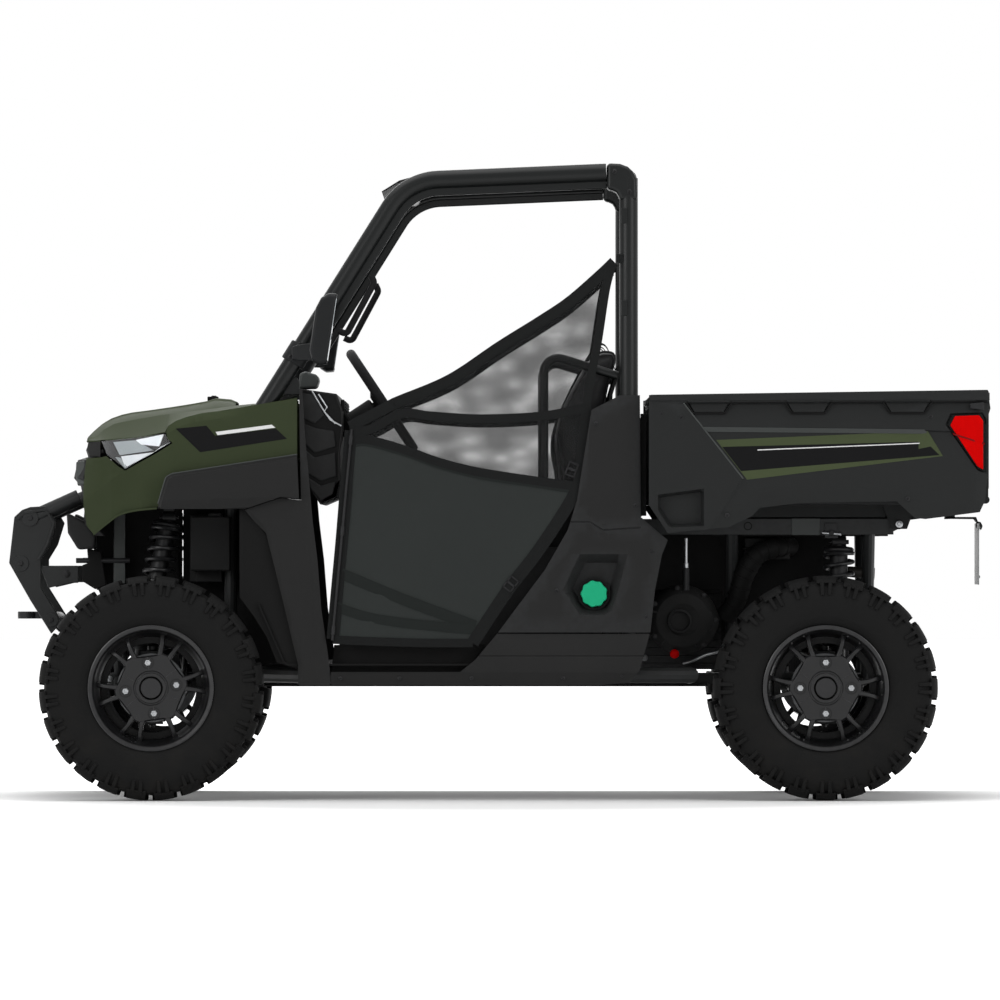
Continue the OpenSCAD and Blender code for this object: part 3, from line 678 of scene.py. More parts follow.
def net_mesh(name, slot, colour, cover):
    """Open mesh cloth: threads that let about half the light through, in drifting patches."""
    tree, shader = surface(name, slot, colour, 0.7, 0.2, mottle=(3, 0.3), weave=(3000, 0.3))
    wide = add(tree, "Mapping", {"Vector": object_place(tree), "Scale": (1.0, 0.0, 2.1)})
    patches = add(tree, "TexVoronoi", {"Vector": wide.outputs[0], "Scale": 13.0}, feature="SMOOTH_F1")
    alpha = ranged(tree, patches.outputs["Distance"], 0.15, 0.65, cover - 0.1, cover + 0.1)
    tree.links.new(alpha, shader.inputs["Alpha"])


# Grey for sharp edges: partly worn edges, partly a painted highlight.
WORN_AND_LIT_GREY = (64, 66, 68)
surface("olive_plastic", "body_green", (57, 64, 46), 0.6, 0.02, (700, 0.06), (2.2, 0.07))
surface("black_plastic", "body_black", (37, 37, 37), 0.55, 0.08, (1100, 0.12), (2.5, 0.12),
    worn_and_lit_edges=(0.25, WORN_AND_LIT_GREY), dust=0.02)
surface("dark_plastic", "body_black", (20, 20, 20), 0.6, 0.08, (1100, 0.12), dust=0.02)
surface("bed_plastic", "bed_black", (35, 36, 36), 0.5, 0.1, (1200, 0.12), (2, 0.1), worn_and_lit_edges=(0.25, WORN_AND_LIT_GREY))
# Lighter grey plastic: some real parts, and thin strips laid on as painted highlights along edges.
surface("edge_plastic", "body_black", (62, 65, 64), 0.45, 0.2, (1200, 0.1))
surface("powder_coat", "frame_black", (31, 32, 32), 0.42, 0.18, (420, 0.1), worn_and_lit_edges=(0.3, WORN_AND_LIT_GREY),
    dust=0.02)
surface("cage_paint", "cage_black", (15, 17, 17), 0.34, 0.2, (380, 0.05), (2, 0.1))
# Its light edge colour is mostly a painted highlight on the rim's edges.
surface("rim_paint", "rim_black", (18, 18, 19), 0.3, 0.3, (500, 0.05), worn_and_lit_edges=(0.4, (110, 110, 112)))
surface("rim_dark", "rim_black", (12, 12, 12), 0.45, 0.15, (500, 0.06))
surface("rubber", "tyre", (22, 22, 22), 0.75, 0.1, (500, 0.25), (9, 0.2), dust=0.02)
surface("webbing", "net", (22, 23, 23), 0.75, 0.1, sheen=0.05, weave=(4200, 0.6), mottle=(12, 0.15))
surface("solid_net", "net", (46, 49, 48), 0.8, 0.08, sheen=0.08, weave=(3400, 0.5), mottle=(2, 0.12))
surface("darker_net", "net", (33, 36, 35), 0.8, 0.08, sheen=0.05, weave=(3400, 0.5), mottle=(2, 0.1))
surface("vinyl", "seat", (26, 26, 27), 0.5, 0.2, (260, 0.5), (6, 0.15))
surface("piping", "seat", (40, 40, 41), 0.6, 0.2, (500, 0.3))
surface("mirror_shell", "mirror", (28, 29, 30), 0.45, 0.12, (900, 0.12))
surface("mirror_face", "mirror", (190, 195, 198), 0.04, 0.5, (50, 0.004), metal=1, rough_swing=0)
surface("reflector", "lens_clear", (225, 228, 230), 0.16, 0.5, (80, 0.05), metal=0.85)
# White and grey for the lamp's mirror facets: painted reflections.
surface("painted_reflection_white", "lens_clear", (236, 238, 238), 0.3, 0.3, (80, 0.03), metal=0.1)
surface("painted_reflection_grey", "lens_clear", (150, 156, 156), 0.3, 0.3, (80, 0.03), metal=0.3)
surface("lens_red", "lens_red", (204, 0, 0), 0.35, 0.04, (160, 0.08), (20, 0.12))
surface("lens_dark_red", "lens_red", (112, 2, 4), 0.3, 0.12, (160, 0.08))
surface("cap_plastic", "cap_green", (18, 163, 117), 0.45, 0.2, (700, 0.1), (30, 0.06))
surface("zinc", "steel_dark", (158, 160, 162), 0.34, 0.5, (600, 0.1), (40, 0.2), metal=0.9)
surface("dull_zinc", "steel_dark", (96, 97, 98), 0.42, 0.4, (600, 0.1), (40, 0.2), metal=0.8)
surface("dark_steel", "steel_dark", (24, 24, 25), 0.45, 0.2, (420, 0.12), worn_and_lit_edges=(0.3, WORN_AND_LIT_GREY), dust=0.02)
surface("cast_metal", "engine_metal", (40, 40, 41), 0.55, metal=0.3, grain=(300, 0.4), mottle=(12, 0.25))
surface("gear_metal", "driveline_metal", (40, 40, 41), 0.5, metal=0.4, grain=(300, 0.35), mottle=(12, 0.25))
surface("boot_rubber", "driveline_metal", (25, 25, 25), 0.65, 0.1, (400, 0.2))
surface("hot_steel", "exhaust_steel", (50, 48, 46), 0.42, metal=0.6, grain=(500, 0.15), mottle=(8, 0.3))
surface("spring_paint", "shock", (26, 26, 27), 0.34, 0.3, (420, 0.08), worn_and_lit_edges=(0.3, WORN_AND_LIT_GREY))
surface("shock_shaft", "shock", (150, 152, 155), 0.2, 0.5, (400, 0.03), metal=1)
surface("grip_rubber", "grip", (19, 19, 20), 0.66, 0.12, (700, 0.35))
surface("plate_metal", "steel_dark", (150, 152, 152), 0.4, 0.3, (500, 0.06), metal=0.3)
surface("stripe_green", "body_green", (67, 75, 52), 0.5, 0.08, (900, 0.03), (3, 0.06))
surface("stripe_black", "body_black", (14, 14, 15), 0.45, 0.08, (900, 0.03))
surface("stripe_white", "body_black", (226, 226, 226), 0.5, 0.1, (900, 0.03), (8, 0.03))
clear_plastic("lens_clear", "lens_clear", (250, 252, 255), 0.03, 1.0)
net_mesh("see_through_net", "net", (24, 25, 25), 0.3)


# ---- Camera, lights and floor ----

def camera():
    """A long lens, level, square to the vehicle's left side."""
    data = bpy.data.cameras.new("camera")
    data.sensor_width = 36.0
    data.lens = 437.7
    data.shift_y = 0.043
    data.clip_end = 500.0
    obj = linked("camera", data)
    obj.location = (-0.007, 37.8, 0.785)
    obj.rotation_euler = (radians(90), 0, radians(180))
    bpy.context.scene.camera = obj


def softbox(name, at, target, size, power):
    data = bpy.data.lights.new(name, "AREA")
    data.shape = "RECTANGLE"
    data.size, data.size_y = size
    data.energy = power
    obj = linked(name, data)
    obj.location = at
    obj.rotation_euler = (Vector(target) - Vector(at)).to_track_quat("-Z", "Y").to_euler()


def seen_white(tree):
    """1 for what the camera, shiny surfaces and glass see, 0 for the light that falls on things."""
    rays = add(tree, "LightPath").outputs
    either = maths(tree, "MAXIMUM", rays["Is Camera Ray"], rays["Is Glossy Ray"])
    return maths(tree, "MAXIMUM", either, rays["Is Transmission Ray"])


def studio():
    scene = bpy.context.scene
    scene.view_settings.view_transform = "Standard"
    world = bpy.data.worlds.new("studio")
    scene.world = world
    world.use_nodes = True
    tree = world.node_tree
    tree.nodes.clear()
    strength = ranged(tree, seen_white(tree), 0.0, 1.0, 0.42, 1.0)
    back = add(tree, "Background", {"Color": (1, 1, 1, 1), "Strength": strength})
    out = tree.nodes.new("ShaderNodeOutputWorld")
    tree.links.new(back.outputs[0], out.inputs["Surface"])
    softbox("overhead", (0.3, 0.8, 6.0), (0, 0, 0.8), (7, 4), 190)
    softbox("front_left", (5.5, 6.5, 3.4), (0.3, 0, 0.7), (4, 3), 190)
    softbox("rear_left", (-6.0, 6.0, 3.0), (-0.3, 0, 0.7), (4, 3), 150)
    softbox("right", (0.0, -8.0, 4.0), (0, 0, 0.7), (7, 3), 170)


def floor():
    """A pale floor that shows its shadow and runs out into the white background. Its white lift is held
    back in an oval round the vehicle, cut off on its far side, so the floor there is painted darker, over
    the real cast shadow.
    """
    bm = bmesh.new()
    bmesh.ops.create_grid(bm, x_segments=1, y_segments=1, size=60.0)
    mesh = bpy.data.meshes.new("floor")
    bm.to_mesh(mesh)
    bm.free()
    obj = linked("floor", mesh)
    obj.location = (0, 0, -0.001)
    material, tree, shader = material_of("pale_floor", None, Base_Color=(0.86, 0.86, 0.86, 1),
        Roughness=0.9, Specular_IOR_Level=0.1, Emission_Color=(1, 1, 1, 1))
    place = object_place(tree)
    squeeze = add(tree, "Mapping", {"Vector": place, "Scale": (0.62, 0.45, 0.0)})
    reach = add(tree, "VectorMath", {0: squeeze.outputs[0]}, operation="LENGTH")
    soft = {"interpolation_type": "SMOOTHSTEP"}
    # Painted shade: the floor stays darker in this oval round the vehicle.
    away = ranged(tree, reach.outputs["Value"], 0.76, 1.4, 0.04, 1.0, **soft)
    behind = ranged(tree, add(tree, "SeparateXYZ", {0: place}).outputs["Y"], -0.62, -0.95, **soft)
    most = maths(tree, "MAXIMUM", away, behind)
    lift = maths(tree, "MULTIPLY", seen_white(tree), most)
    tree.links.new(lift, shader.inputs["Emission Strength"])
    mesh.materials.append(material)


camera()
studio()
floor()


# ---- Wheels ----

def lug(section, half_angle, at, flare=0.5):
    """One block of tread, following the tyre round, a little wider at its base."""
    rows = []
    steps = 4
    for k in range(steps + 1):
        row = []
        for r, y in section:
            wide = half_angle + radians(flare) * max(0.0, (TYRE_R - r) / 40)
            angle = at - wide + 2 * wide * k / steps
            row.append((r * cos(angle), y, r * sin(angle)))
        rows.append(row)
    return capped_loft(rows)


def casing():
    half = [(178, 86), (192, 88), (200, 96), (206, 101), (214, 104), (217, 105.5), (222, 106.5), (240, 109),
        (262, 110), (285, 109.5), (303, 106), (318, 98), (325, 80), (327, 40), (327, 0)]
    inner = [(322, 0), (322, 50), (314, 84), (296, 97), (262, 100), (220, 96), (196, 82), (178, 78)]
    section = half + [(r, -y) for r, y in half[-2::-1]] + [(r, -y) for r, y in inner[::-1]] + inner[1:]
    return hoop([(r, y) for r, y in section], (0, 0, 0), LEFT, 144)


def tread():
    """Shoulder lugs down both sides, two rows of centre blocks, and paired ribs below the lugs."""
    lugs = []
    long_side = [(342.5, 42), (342.5, 62), (338, 86), (331, 98), (316, 107.5), (312, 103), (324, 80),
        (325, 41)]
    short_side = [(342.5, 48), (342.5, 64), (338, 88), (330, 99), (322, 105), (318, 99), (324, 80),
        (325, 47)]
    centre = [(342.5, 4), (342.5, 30), (325, 32), (325, 3)]
    step = 2 * pi / 24
    for k in range(24):
        for side in (1, -1):
            at = step * k
            section = [(r, y * side) for r, y in (long_side if k % 2 else short_side)]
            lugs.append(lug(section, radians(4.9), at, 0.8))
            small = [(r, y * side) for r, y in centre]
            lugs.append(lug(small, radians(6.3), at))
            for turn in (-2.2, 2.2):
                rib = [(325, 102 * side), (316, 112 * side), (284, 114.5 * side), (282, 108 * side),
                    (316, 99 * side)]
                lugs.append(lug(rib, radians(1.1), at + radians(turn), 0))
    return joined(*lugs)


def spoke_face():
    """The cast face: a hub plate with flats towards six windows and paired arms between them."""
    low, high = 712.0, 741.0
    apothem, corner_half = 99.0, radians(4.0)
    points, round_points = [], []
    for k in range(6):
        base = radians(60 * k)
        for angle, r in ((base - corner_half, 113), (base + corner_half, 113),
                (base + 0.32, apothem / 0.979), (base + 0.72, apothem / 0.979)):
            points.append((r * cos(angle), r * sin(angle)))
            round_points.append((cos(angle), sin(angle)))
    rows = [[(x * s, y, z * s) for x, z in points] for y, s in ((low, 0.97), (735, 1.0), (high, 0.955))]
    rows += [[(x * r, y, z * r) for x, z in round_points] for y, r in ((high, 54), (high - 3, 52),
        (high - 3, 47), (high + 2, 46), (high + 2, 36), (low, 35))]
    plate = [loft(rows + [rows[0]], closed=True)]
    arms = []
    for k in range(6):
        turn = Matrix.Rotation(-radians(60 * k), 4, "Y")
        for side in (-1, 1):
            rows = []
            for r, off, y, w in ((94, 14, 739, 8.5), (110, 16, 740, 8), (124, 19, 738, 7.5),
                    (140, 23, 736, 7.5), (155, 28, 732, 8), (168, 31, 726, 9), (176, 32, 720, 9)):
                z = off * side
                rows.append([(r, y, z - w * 0.6), (r, y, z + w * 0.6), (r, y - 3, z + w),
                    (r, y - 22, z + w), (r, y - 22, z - w), (r, y - 3, z - w)])
            arms.append(moved(capped_loft(rows), turn.copy()))
            rib = block((168, 734, side * 21 - 2.5), (181, 743.5, side * 21 + 2.5))
            arms.append(moved(rib, turn.copy()))
        line = [(58, 739.5, -1), (58, 739.5, 1), (96, 739.5, 1), (96, 739.5, -1)]
        arms.append(moved(extrude(line, (0, 2.6, 0)), Matrix.Rotation(-radians(60 * k + 30), 4, "Y")))
    return joined(*plate, *arms)


def rim_barrel(width_scale):
    """The barrel, with rolled flanges and a deep dish behind the spokes."""
    k = width_scale
    profile = [(192, 94 * k), (189, 95 * k), (180, 93 * k), (176, 88 * k), (173, 74 * k), (166, 52 * k),
        (158, 34 * k), (156, 0), (156, -50 * k), (170, -62 * k), (171, -90 * k), (184, -94 * k),
        (192, -94 * k), (192, -88.5 * k), (178, -88.5 * k), (178, -60 * k), (162, -50 * k), (162, 36 * k),
        (178, 52 * k), (178, 88.5 * k), (192, 88.5 * k)]
    return hoop(profile, (0, 0, 0), LEFT, 96)


def wheel_nuts():
    nut = [(0, 0), (13, 0), (13, 2), (11, 4), (11, 13), (9, 15.5), (5, 15.5), (5, 12), (0, 12)]
    return joined(*[turned(nut, at, LEFT, 6) for at in around(0, 736, 0, 78, range(0, 360, 90))])


def nut_wells():
    well = [(0, 0), (16, 0), (17, 3.2), (18.5, 3.4), (18.5, -2), (0, -2)]
    return joined(*[turned(well, at, LEFT, 24) for at in around(0, 738.2, 0, 78, range(0, 360, 90))])


def brake_disc():
    ring = hoop([(62, 0), (105, 0), (106, 1), (106, 4), (105, 5), (62, 5)], (0, 660, 0), LEFT, 48)
    holes = [block((x - 5, 659, z - 5), (x + 5, 666, z + 5)) for x, _, z in around(0, 0, 0, 84,
        range(15, 375, 60))]
    return joined(ring, *holes)


def wheel(where, side, axle_x, width, spin):
    """One wheel on its spinning body, with its tyre, rim, nuts and bare centre cap."""
    sign = 1 if side == "left" else -1
    track_y = TYRE_OUTER - width / 2
    k = width / 229
    turn = Matrix.Rotation(radians(spin), 4, "Y")
    flip = Matrix.Scale(sign, 4, LEFT)
    centred = Matrix.Translation((axle_x, track_y * sign, TYRE_R)) @ flip @ turn
    still = Matrix.Translation((axle_x, 0, TYRE_R)) @ flip
    faced = still @ turn
    widened = centred @ Matrix.Scale(k, 4, LEFT)

    def put(name, bm, place, finish, **look):
        piece(f"{name}_{where}_{side}", moved(bm, place), finish, f"wheel_{where}_{side}", **look)

    put("tyre_casing", casing(), widened, "rubber", angle=40, node=f"tyre_{where}_{side}")
    put("tread_blocks", tread(), widened, "rubber", bevel=1.6, segments=1)
    put("rim_barrel", rim_barrel(k), centred, "rim_paint", angle=30, node=f"rim_{where}_{side}")
    put("rim_face", spoke_face(), faced, "rim_paint", bevel=1.4)
    put("nut_wells", nut_wells(), faced, "rim_dark")
    put("wheel_nuts", wheel_nuts(), faced, "zinc", bevel=0.5)
    cap = turned([(0, 747), (24, 746.5), (31, 744), (33, 740), (33, 730), (0, 730)], (0, 0, 0), LEFT, 40)
    put("centre_cap", cap, faced, "rim_dark", angle=25)
    ring = hoop([(136, 0), (171, 0), (171, 5), (136, 5)], (0, 655, 0), LEFT, 72)
    put("rim_web", ring, still, "rim_dark", bevel=1)
    put("brake_disc", brake_disc(), still, "dull_zinc", bevel=0.4)
    put("tyre_valve", rod((150, 700, 60), (164, 712, 66), 8, 12), faced, "grip_rubber")


for wheel_side in ("left", "right"):
    wheel("front", wheel_side, FRONT_AXLE, 229, 7)
    wheel("rear", wheel_side, REAR_AXLE, 279, 0)


# ---- Suspension, driveline and frame ----

def control_arm(x_a, x_b, z, end):
    """Two tubes from their pivot sleeves to a ball joint block."""
    out = 16 if x_b > x_a else -16
    parts = []
    for x, step in ((x_a, -out), (x_b, out)):
        parts.append(rod((x, 229, z), (end[0] + step, end[1] - 14, end[2]), 28, 20, 0.5))
        parts.append(rod((x - 28, 225, z), (x + 28, 225, z), 38, 24, 2))
        parts.append(bolt((x + 28, 225, z), (1, 0, 0), 12))
        parts.append(bolt((x - 28, 225, z), (-1, 0, 0), 12))
    mid = (Vector((x_a, 229, z)) + Vector((x_b, 229, z))) / 2
    far = Vector(end)
    low, high = mid.lerp(far, 0.42), mid.lerp(far, 0.52)
    half = abs(x_b - x_a) / 2 * 0.55
    parts.append(extrude([(low.x - half, low.y, low.z - 3), (low.x + half, low.y, low.z - 3),
        (high.x + half * 0.85, high.y, high.z - 3), (high.x - half * 0.85, high.y, high.z - 3)], (0, 0, 6)))
    return joined(*parts)


def ball_end(end):
    x, y, z = end
    parts = [block((x - 33, y - 24, z - 14), (x + 33, y + 22, z + 14))]
    parts.append(turned([(0, 0), (20, 0), (20, 6), (14, 10), (14, 22), (0, 22)], (x, y, z + 8), UP, 24))
    parts.append(bolt((x, y, z - 14), (0, 0, -1), 13))
    return joined(*parts)


def arm_set(x, y, side):
    top, low = (x, y, 440), (x, y, 245)
    arms = [control_arm(x + side * 117, x + side * 17, 470, top), control_arm(x + side * 100,
        x - side * 100, 350, low)]
    return joined(*arms, ball_end(top), ball_end(low))


def shock_body(low, high):
    low, high = Vector(low), Vector(high)
    length = (high - low).length
    profile = [(0, 30), (13, 30), (13, 60), (22, 62), (22, 132), (42, 136), (46, 142), (46, 148), (27, 152),
        (27, length - 30), (0, length - 30)]
    parts = [turned(profile, low, high - low, 32)]
    parts.append(turned([(0, 0), (40, 0), (46, 3), (46, 9), (40, 14), (16, 18), (16, 30), (0, 30)],
        high - (high - low).normalized() * 30, high - low, 32))
    for p in (low, high):
        parts.append(rod(p - Vector((22, 0, 0)), p + Vector((22, 0, 0)), 36, 28, 2))
        parts.append(rod(p - Vector((30, 0, 0)), p + Vector((30, 0, 0)), 14, 12, 1))
    return joined(*parts)


def shock_spring(low, high):
    u = unit(Vector(high) - Vector(low))
    length = (Vector(high) - Vector(low)).length
    return coil(Vector(low) + u * 148, Vector(high) - u * 30, 86, 13, round((length - 178) / 31))


SHOCKS = {"front": ((1118, 436, 326), (1011, 392, 862)), "rear": ((-1045, 420, 326), (-1050, 404, 788))}


def suspension():
    pair("control_arms_front", arm_set(FRONT_AXLE, 600, -1), "powder_coat", bevel=0.8,
        node="suspension_arms")
    pair("control_arms_rear", arm_set(REAR_AXLE, 560, 1), "powder_coat", bevel=0.8)
    for where, (low, high) in SHOCKS.items():
        node = "shocks" if where == "front" else None
        pair(f"shock_{where}", shock_body(low, high), "dark_steel", bevel=0.6, node=node)
        pair(f"spring_{where}", shock_spring(low, high), "spring_paint")
        along = unit(Vector(high) - Vector(low))
        shaft = rod(Vector(low) + along * 260, Vector(high) - along * 60, 18, 20, 0.5)
        pair(f"damper_rod_{where}", shaft, "shock_shaft")


def boot(a, b, r_small, r_big, folds=6):
    """A bellows boot between two points."""
    a, b = Vector(a), Vector(b)
    h = (b - a).length
    profile = [(0, 0), (r_small, 0)]
    for k in range(folds):
        t = (k + 0.5) / folds
        r = r_small + (r_big - r_small) * t
        profile += [(r - 3, h * (k + 0.15) / folds), (r + 3, h * (k + 0.6) / folds)]
    profile += [(r_big, h), (0, h)]
    return turned(profile, a, b - a, 32)


def gearcases():
    parts = [block((987, -108, 386), (1135, 108, 468)), block((-1088, -113, 386), (-902, 113, 558)),
        block((-902, -60, 402), (-850, 60, 518))]
    for x in (1005, 1040, 1080, 1115):
        parts.append(block((x - 3, -110, 384), (x + 3, 110, 470)))
    for x in (-1060, -1010, -960, -925):
        parts.append(block((x - 3, -115, 384), (x + 3, 115, 560)))
    for y in (-80, -20, 40, 95):
        parts.append(bolt((1135, y, 455), (1, 0, 0), 9))
        parts.append(bolt((-1088, y, 540), (-1, 0, 0), 9))
    return joined(*parts)


def driveline():
    piece("gearcases", gearcases(), "gear_metal", bevel=3, segments=2, node="driveline")
    piece("prop_shaft", [rod((991, 0, 396), (-425, 0, 396), 26, 24), rod((-300, 0, 396), (-240, 0, 396), 30,
        16)], "dark_steel")
    for where, x, inner, z, outer in (("front", 1057, 105, 420, 554), ("rear", -1000, 110, 430, 532)):
        a, b = Vector((x, inner, z)), Vector((x, outer, TYRE_R))
        pair(f"half_shaft_{where}", rod(a, b, 28, 20), "dark_steel")
        outer_boot = (b - (b - a) * 0.19, b - (b - a) * 0.02)
        inner_boot = (a + (b - a) * 0.02, a + (b - a) * 0.19)
        pair(f"shaft_boots_{where}", [boot(*outer_boot, 17, 31), boot(*inner_boot[::-1], 17, 31)],
            "boot_rubber")


def engine_bay():
    core = block((-846, -174, 394), (-427, 174, 640))
    head = block((-800, -120, 640), (-520, 120, 793))
    fins = [block((-846, -176, z), (-427, 176, z + 4)) for z in range(410, 640, 24)]
    ribs = [block((x, -122, 660), (x + 5, 122, 790)) for x in range(-780, -530, 28)]
    piece("engine_block", [core, head, *fins, *ribs], "cast_metal", bevel=1.5, node="engine")
    places = [(-820, 176, z) for z in (430, 520, 610)] + [(-455, 176, z) for z in (430, 520, 610)]
    piece("engine_bolts", bolts(places, LEFT, 11), "dull_zinc", bevel=0.3)

    drum = turned([(0, 0), (106, 0), (108, 4), (108, 178), (104, 198), (96, 214), (82, 225), (50, 229),
        (44, 226), (0, 226)], (-570, 176, 548), LEFT, 64)
    second = turned([(0, 0), (64, 0), (64, 186), (58, 206), (46, 222), (30, 228), (0, 229)],
        (-618, 176, 548), LEFT, 48)
    ring = turned([(0, 0), (30, 0), (30, 8), (28, 11), (31, 15), (37, 13), (37, -8), (0, -8)],
        (-560, 404, 545), LEFT, 40)
    ribs = []
    for k in range(5):
        a = radians(72 * k + 20)
        p, q = Vector((-560, 401, 545)), Vector((-560 + 92 * cos(a), 396, 545 + 92 * sin(a)))
        ribs.append(rod(p.lerp(q, 0.42), q, 7, 10))
    piece("clutch_cover_shell", [drum, second, ring, *ribs], "black_plastic", angle=28, node="clutch_cover")
    places = around(-570, 392, 548, 100, range(30, 380, 50))
    piece("clutch_cover_bolts", bolts(places, LEFT, 8), "dark_steel", bevel=0.3)
    piece("drain_plug", turned([(0, 0), (8, 0), (8, 100), (14, 100), (14, 106), (9, 110), (0, 110)],
        (-544, 296, 444), LEFT, 24), "lens_red", bevel=0.5)
    pipe = smooth([(-572, 330, 414), (-600, 345, 422), (-640, 350, 440), (-682, 345, 452),
        (-700, 300, 480)], 8)
    piece("breather_pipe", tube(pipe, 9, 12), "zinc")

    duct = smooth([(-700, 340, 560), (-735, 370, 610), (-760, 400, 690), (-800, 405, 750), (-860, 380, 772),
        (-900, 300, 775)], 8)
    piece("intake_duct", tube(duct, 62, 24), "dark_plastic")
    rings = []
    for k in range(6, len(duct) - 6, 3):
        rings.append(hoop([(29, 0), (33, 2), (33, 5), (29, 7)], duct[k], duct[k + 1] - duct[k], 24))
    piece("duct_rings", rings, "dark_plastic")
    lid = block((-900, 120, 735), (-760, 360, 800))
    piece("air_box", [lid, block((-905, 115, 765), (-755, 365, 772))], "black_plastic", bevel=6, segments=3)

    can = turned([(0, -190), (60, -190), (74, -184), (80, -170), (80, -150), (77, -147), (77, 208),
        (80, 212), (80, 232), (72, 245), (56, 250), (0, 250)], (-975, 0, 700), LEFT, 56)
    outlet = tube(bend([(-1020, 215, 696), (-1090, 215, 696), (-1160, 215, 690)], 60), 34, 24)
    tip = hoop([(14, -2), (18, -2), (18, 0), (18, 22), (14, 22)], (-1163, 215, 690), (1, 0, 0.05), 28)
    inlet = tube(bend([(-849, -120, 640), (-885, -120, 640), (-925, -120, 700), (-965, -120, 700)], 24), 44,
        24)
    piece("muffler", [can, outlet, tip, inlet], "hot_steel", angle=35, node="exhaust")
    clamps = [hoop([(78, 0), (82, 0), (82, 14), (78, 14)], (-975, y, 700), LEFT, 48) for y in (-120, 120)]
    piece("muffler_clamps", clamps, "dark_steel")
    shield = [(-430, 811), (-1052, 811), (-1062, 640), (-1052, 560), (-690, 470), (-690, 640), (-430, 640)]
    pair("engine_side_shield", slab(shield, 256, 260), "dark_plastic", bevel=1)
    apron = [(-660, 868), (-1200, 868), (-1200, 806), (-660, 806)]
    pair("under_bed_apron", slab(apron, 410, 413), "dark_plastic", bevel=1)
    strut = joined(rod((-578, 478, 800), (-578, 478, 706), 11, 16), rod((-578, 478, 724), (-578, 478, 708),
        17, 16))
    piece("latch_rod", strut, "zinc")
    piece("latch_rod_sleeve", rod((-578, 478, 708), (-578, 470, 640), 22, 18), "dark_steel")


def frame_details():
    keep_node("frame", "powder_coat", 2.5)
    keep_node("front_tower", "powder_coat", 0)
    keep_node("bed_frame", "powder_coat", 1.6)
    keep_node("skid_plate", "black_plastic", 1.5)
    keep_node("hitch_receiver", "powder_coat", 1.5)
    for name in ("front_knuckle_left", "front_knuckle_right", "rear_hubs"):
        keep_node(name, "cast_metal", 2)
    keep_node("steering_rack", "dark_steel", 0.8)
    rail = [(-768, 475, 837), (-946, 475, 837)]
    wells = [turned([(0, -3), (10, -3), (10, 0.6), (13, 0.6), (13, 0), (13, -3)], p, LEFT, 24)
        for p in rail]
    pair("bed_rail_holes", wells, "dark_plastic")
    pair("bed_rail_sleeve", block((-989, 470, 809.5), (-903, 477.5, 860.5)), "edge_plastic", bevel=1.2)
    pair("bed_lift_bracket", [block((-1044, 470, 800), (-1004, 482, 846)), rod((-1024, 470, 816),
        (-1024, 496, 816), 16)], "dark_steel", bevel=1.2)
    pair("bed_lift_pin", rod((-995, 486, 816), (-1054, 486, 812), 12, 16), "zinc")
    hook = [(-1198, 811), (-1210, 818), (-1246, 836), (-1252, 846), (-1244, 856), (-1226, 862),
        (-1198, 859)]
    pair("bed_pivot_plate", slab(hook, 471, 476), "dark_steel", bevel=1)
    pair("bed_pivot_bolt", bolt((-1232, 496, 843), LEFT, 12), "zinc", bevel=0.3)
    nuts = [(x, 200, 365) for x in range(-500, 1201, 340)]
    pair("rail_bolts", bolts(nuts, LEFT, 10), "zinc", bevel=0.3)
    pin = joined(rod((-1230, -46, 384), (-1230, 50, 384), 14, 20), rod((-1230, 42, 384), (-1230, 44, 384),
        26, 20))
    piece("hitch_pin", pin, "zinc", bevel=0.4)


suspension()
driveline()
engine_bay()
frame_details()


# ---- Cage ----

PILLAR_FOOT, ROOF_KNEE, ROOF_END = (724, 1181), (279, 1893), (-332, 1919)


def cage_line(points):
    return [(p.x, 0, p.z) for p in bend([(x, 0, z) for x, z in points], 182, 14)]


def cage_tube():
    return leaned(tube(cage_line([PILLAR_FOOT, ROOF_KNEE, ROOF_END]), 57, 28))


def cage_web():
    """Flat flange along the inside of the tube, with a rolled edge."""
    start = (577, 0, 1416)
    line = cage_line([PILLAR_FOOT, ROOF_KNEE, (-331, 1919)])
    section = [(24, -7), (24, 7), (46, 7), (49, 4), (49, -4), (46, -7)]
    return leaned(sweep([start] + [p for p in line if p[2] > start[2]], section))


def cage_bolts(places, y):
    return leaned(bolts([(x, y, z) for x, z in places], LEFT, 9, True))


def corner_casting():
    outline = [(-333, 1947), (-374, 1945), (-398, 1936), (-414, 1921), (-426, 1896), (-428, 1832),
        (-371, 1832), (-369, 1846), (-362, 1857), (-350, 1863), (-333, 1865)]
    return leaned(slab(outline, -28, 28))


def rear_pillar():
    top = Vector((0, CAGE_BASE_Y - 712 * sin(CAGE_LEAN), CAGE_BASE_Z + 712 * cos(CAGE_LEAN)))
    line = [(-400, 640, 863), (-400, CAGE_BASE_Y, CAGE_BASE_Z), (-400, top.y, top.z)]
    plates = [block((-396, y + 24, z), (-378, y + 31, z + 46)) for y, z in ((628, 1762), (648, 1480))]
    return joined(tube(line, 57, 28), *plates)


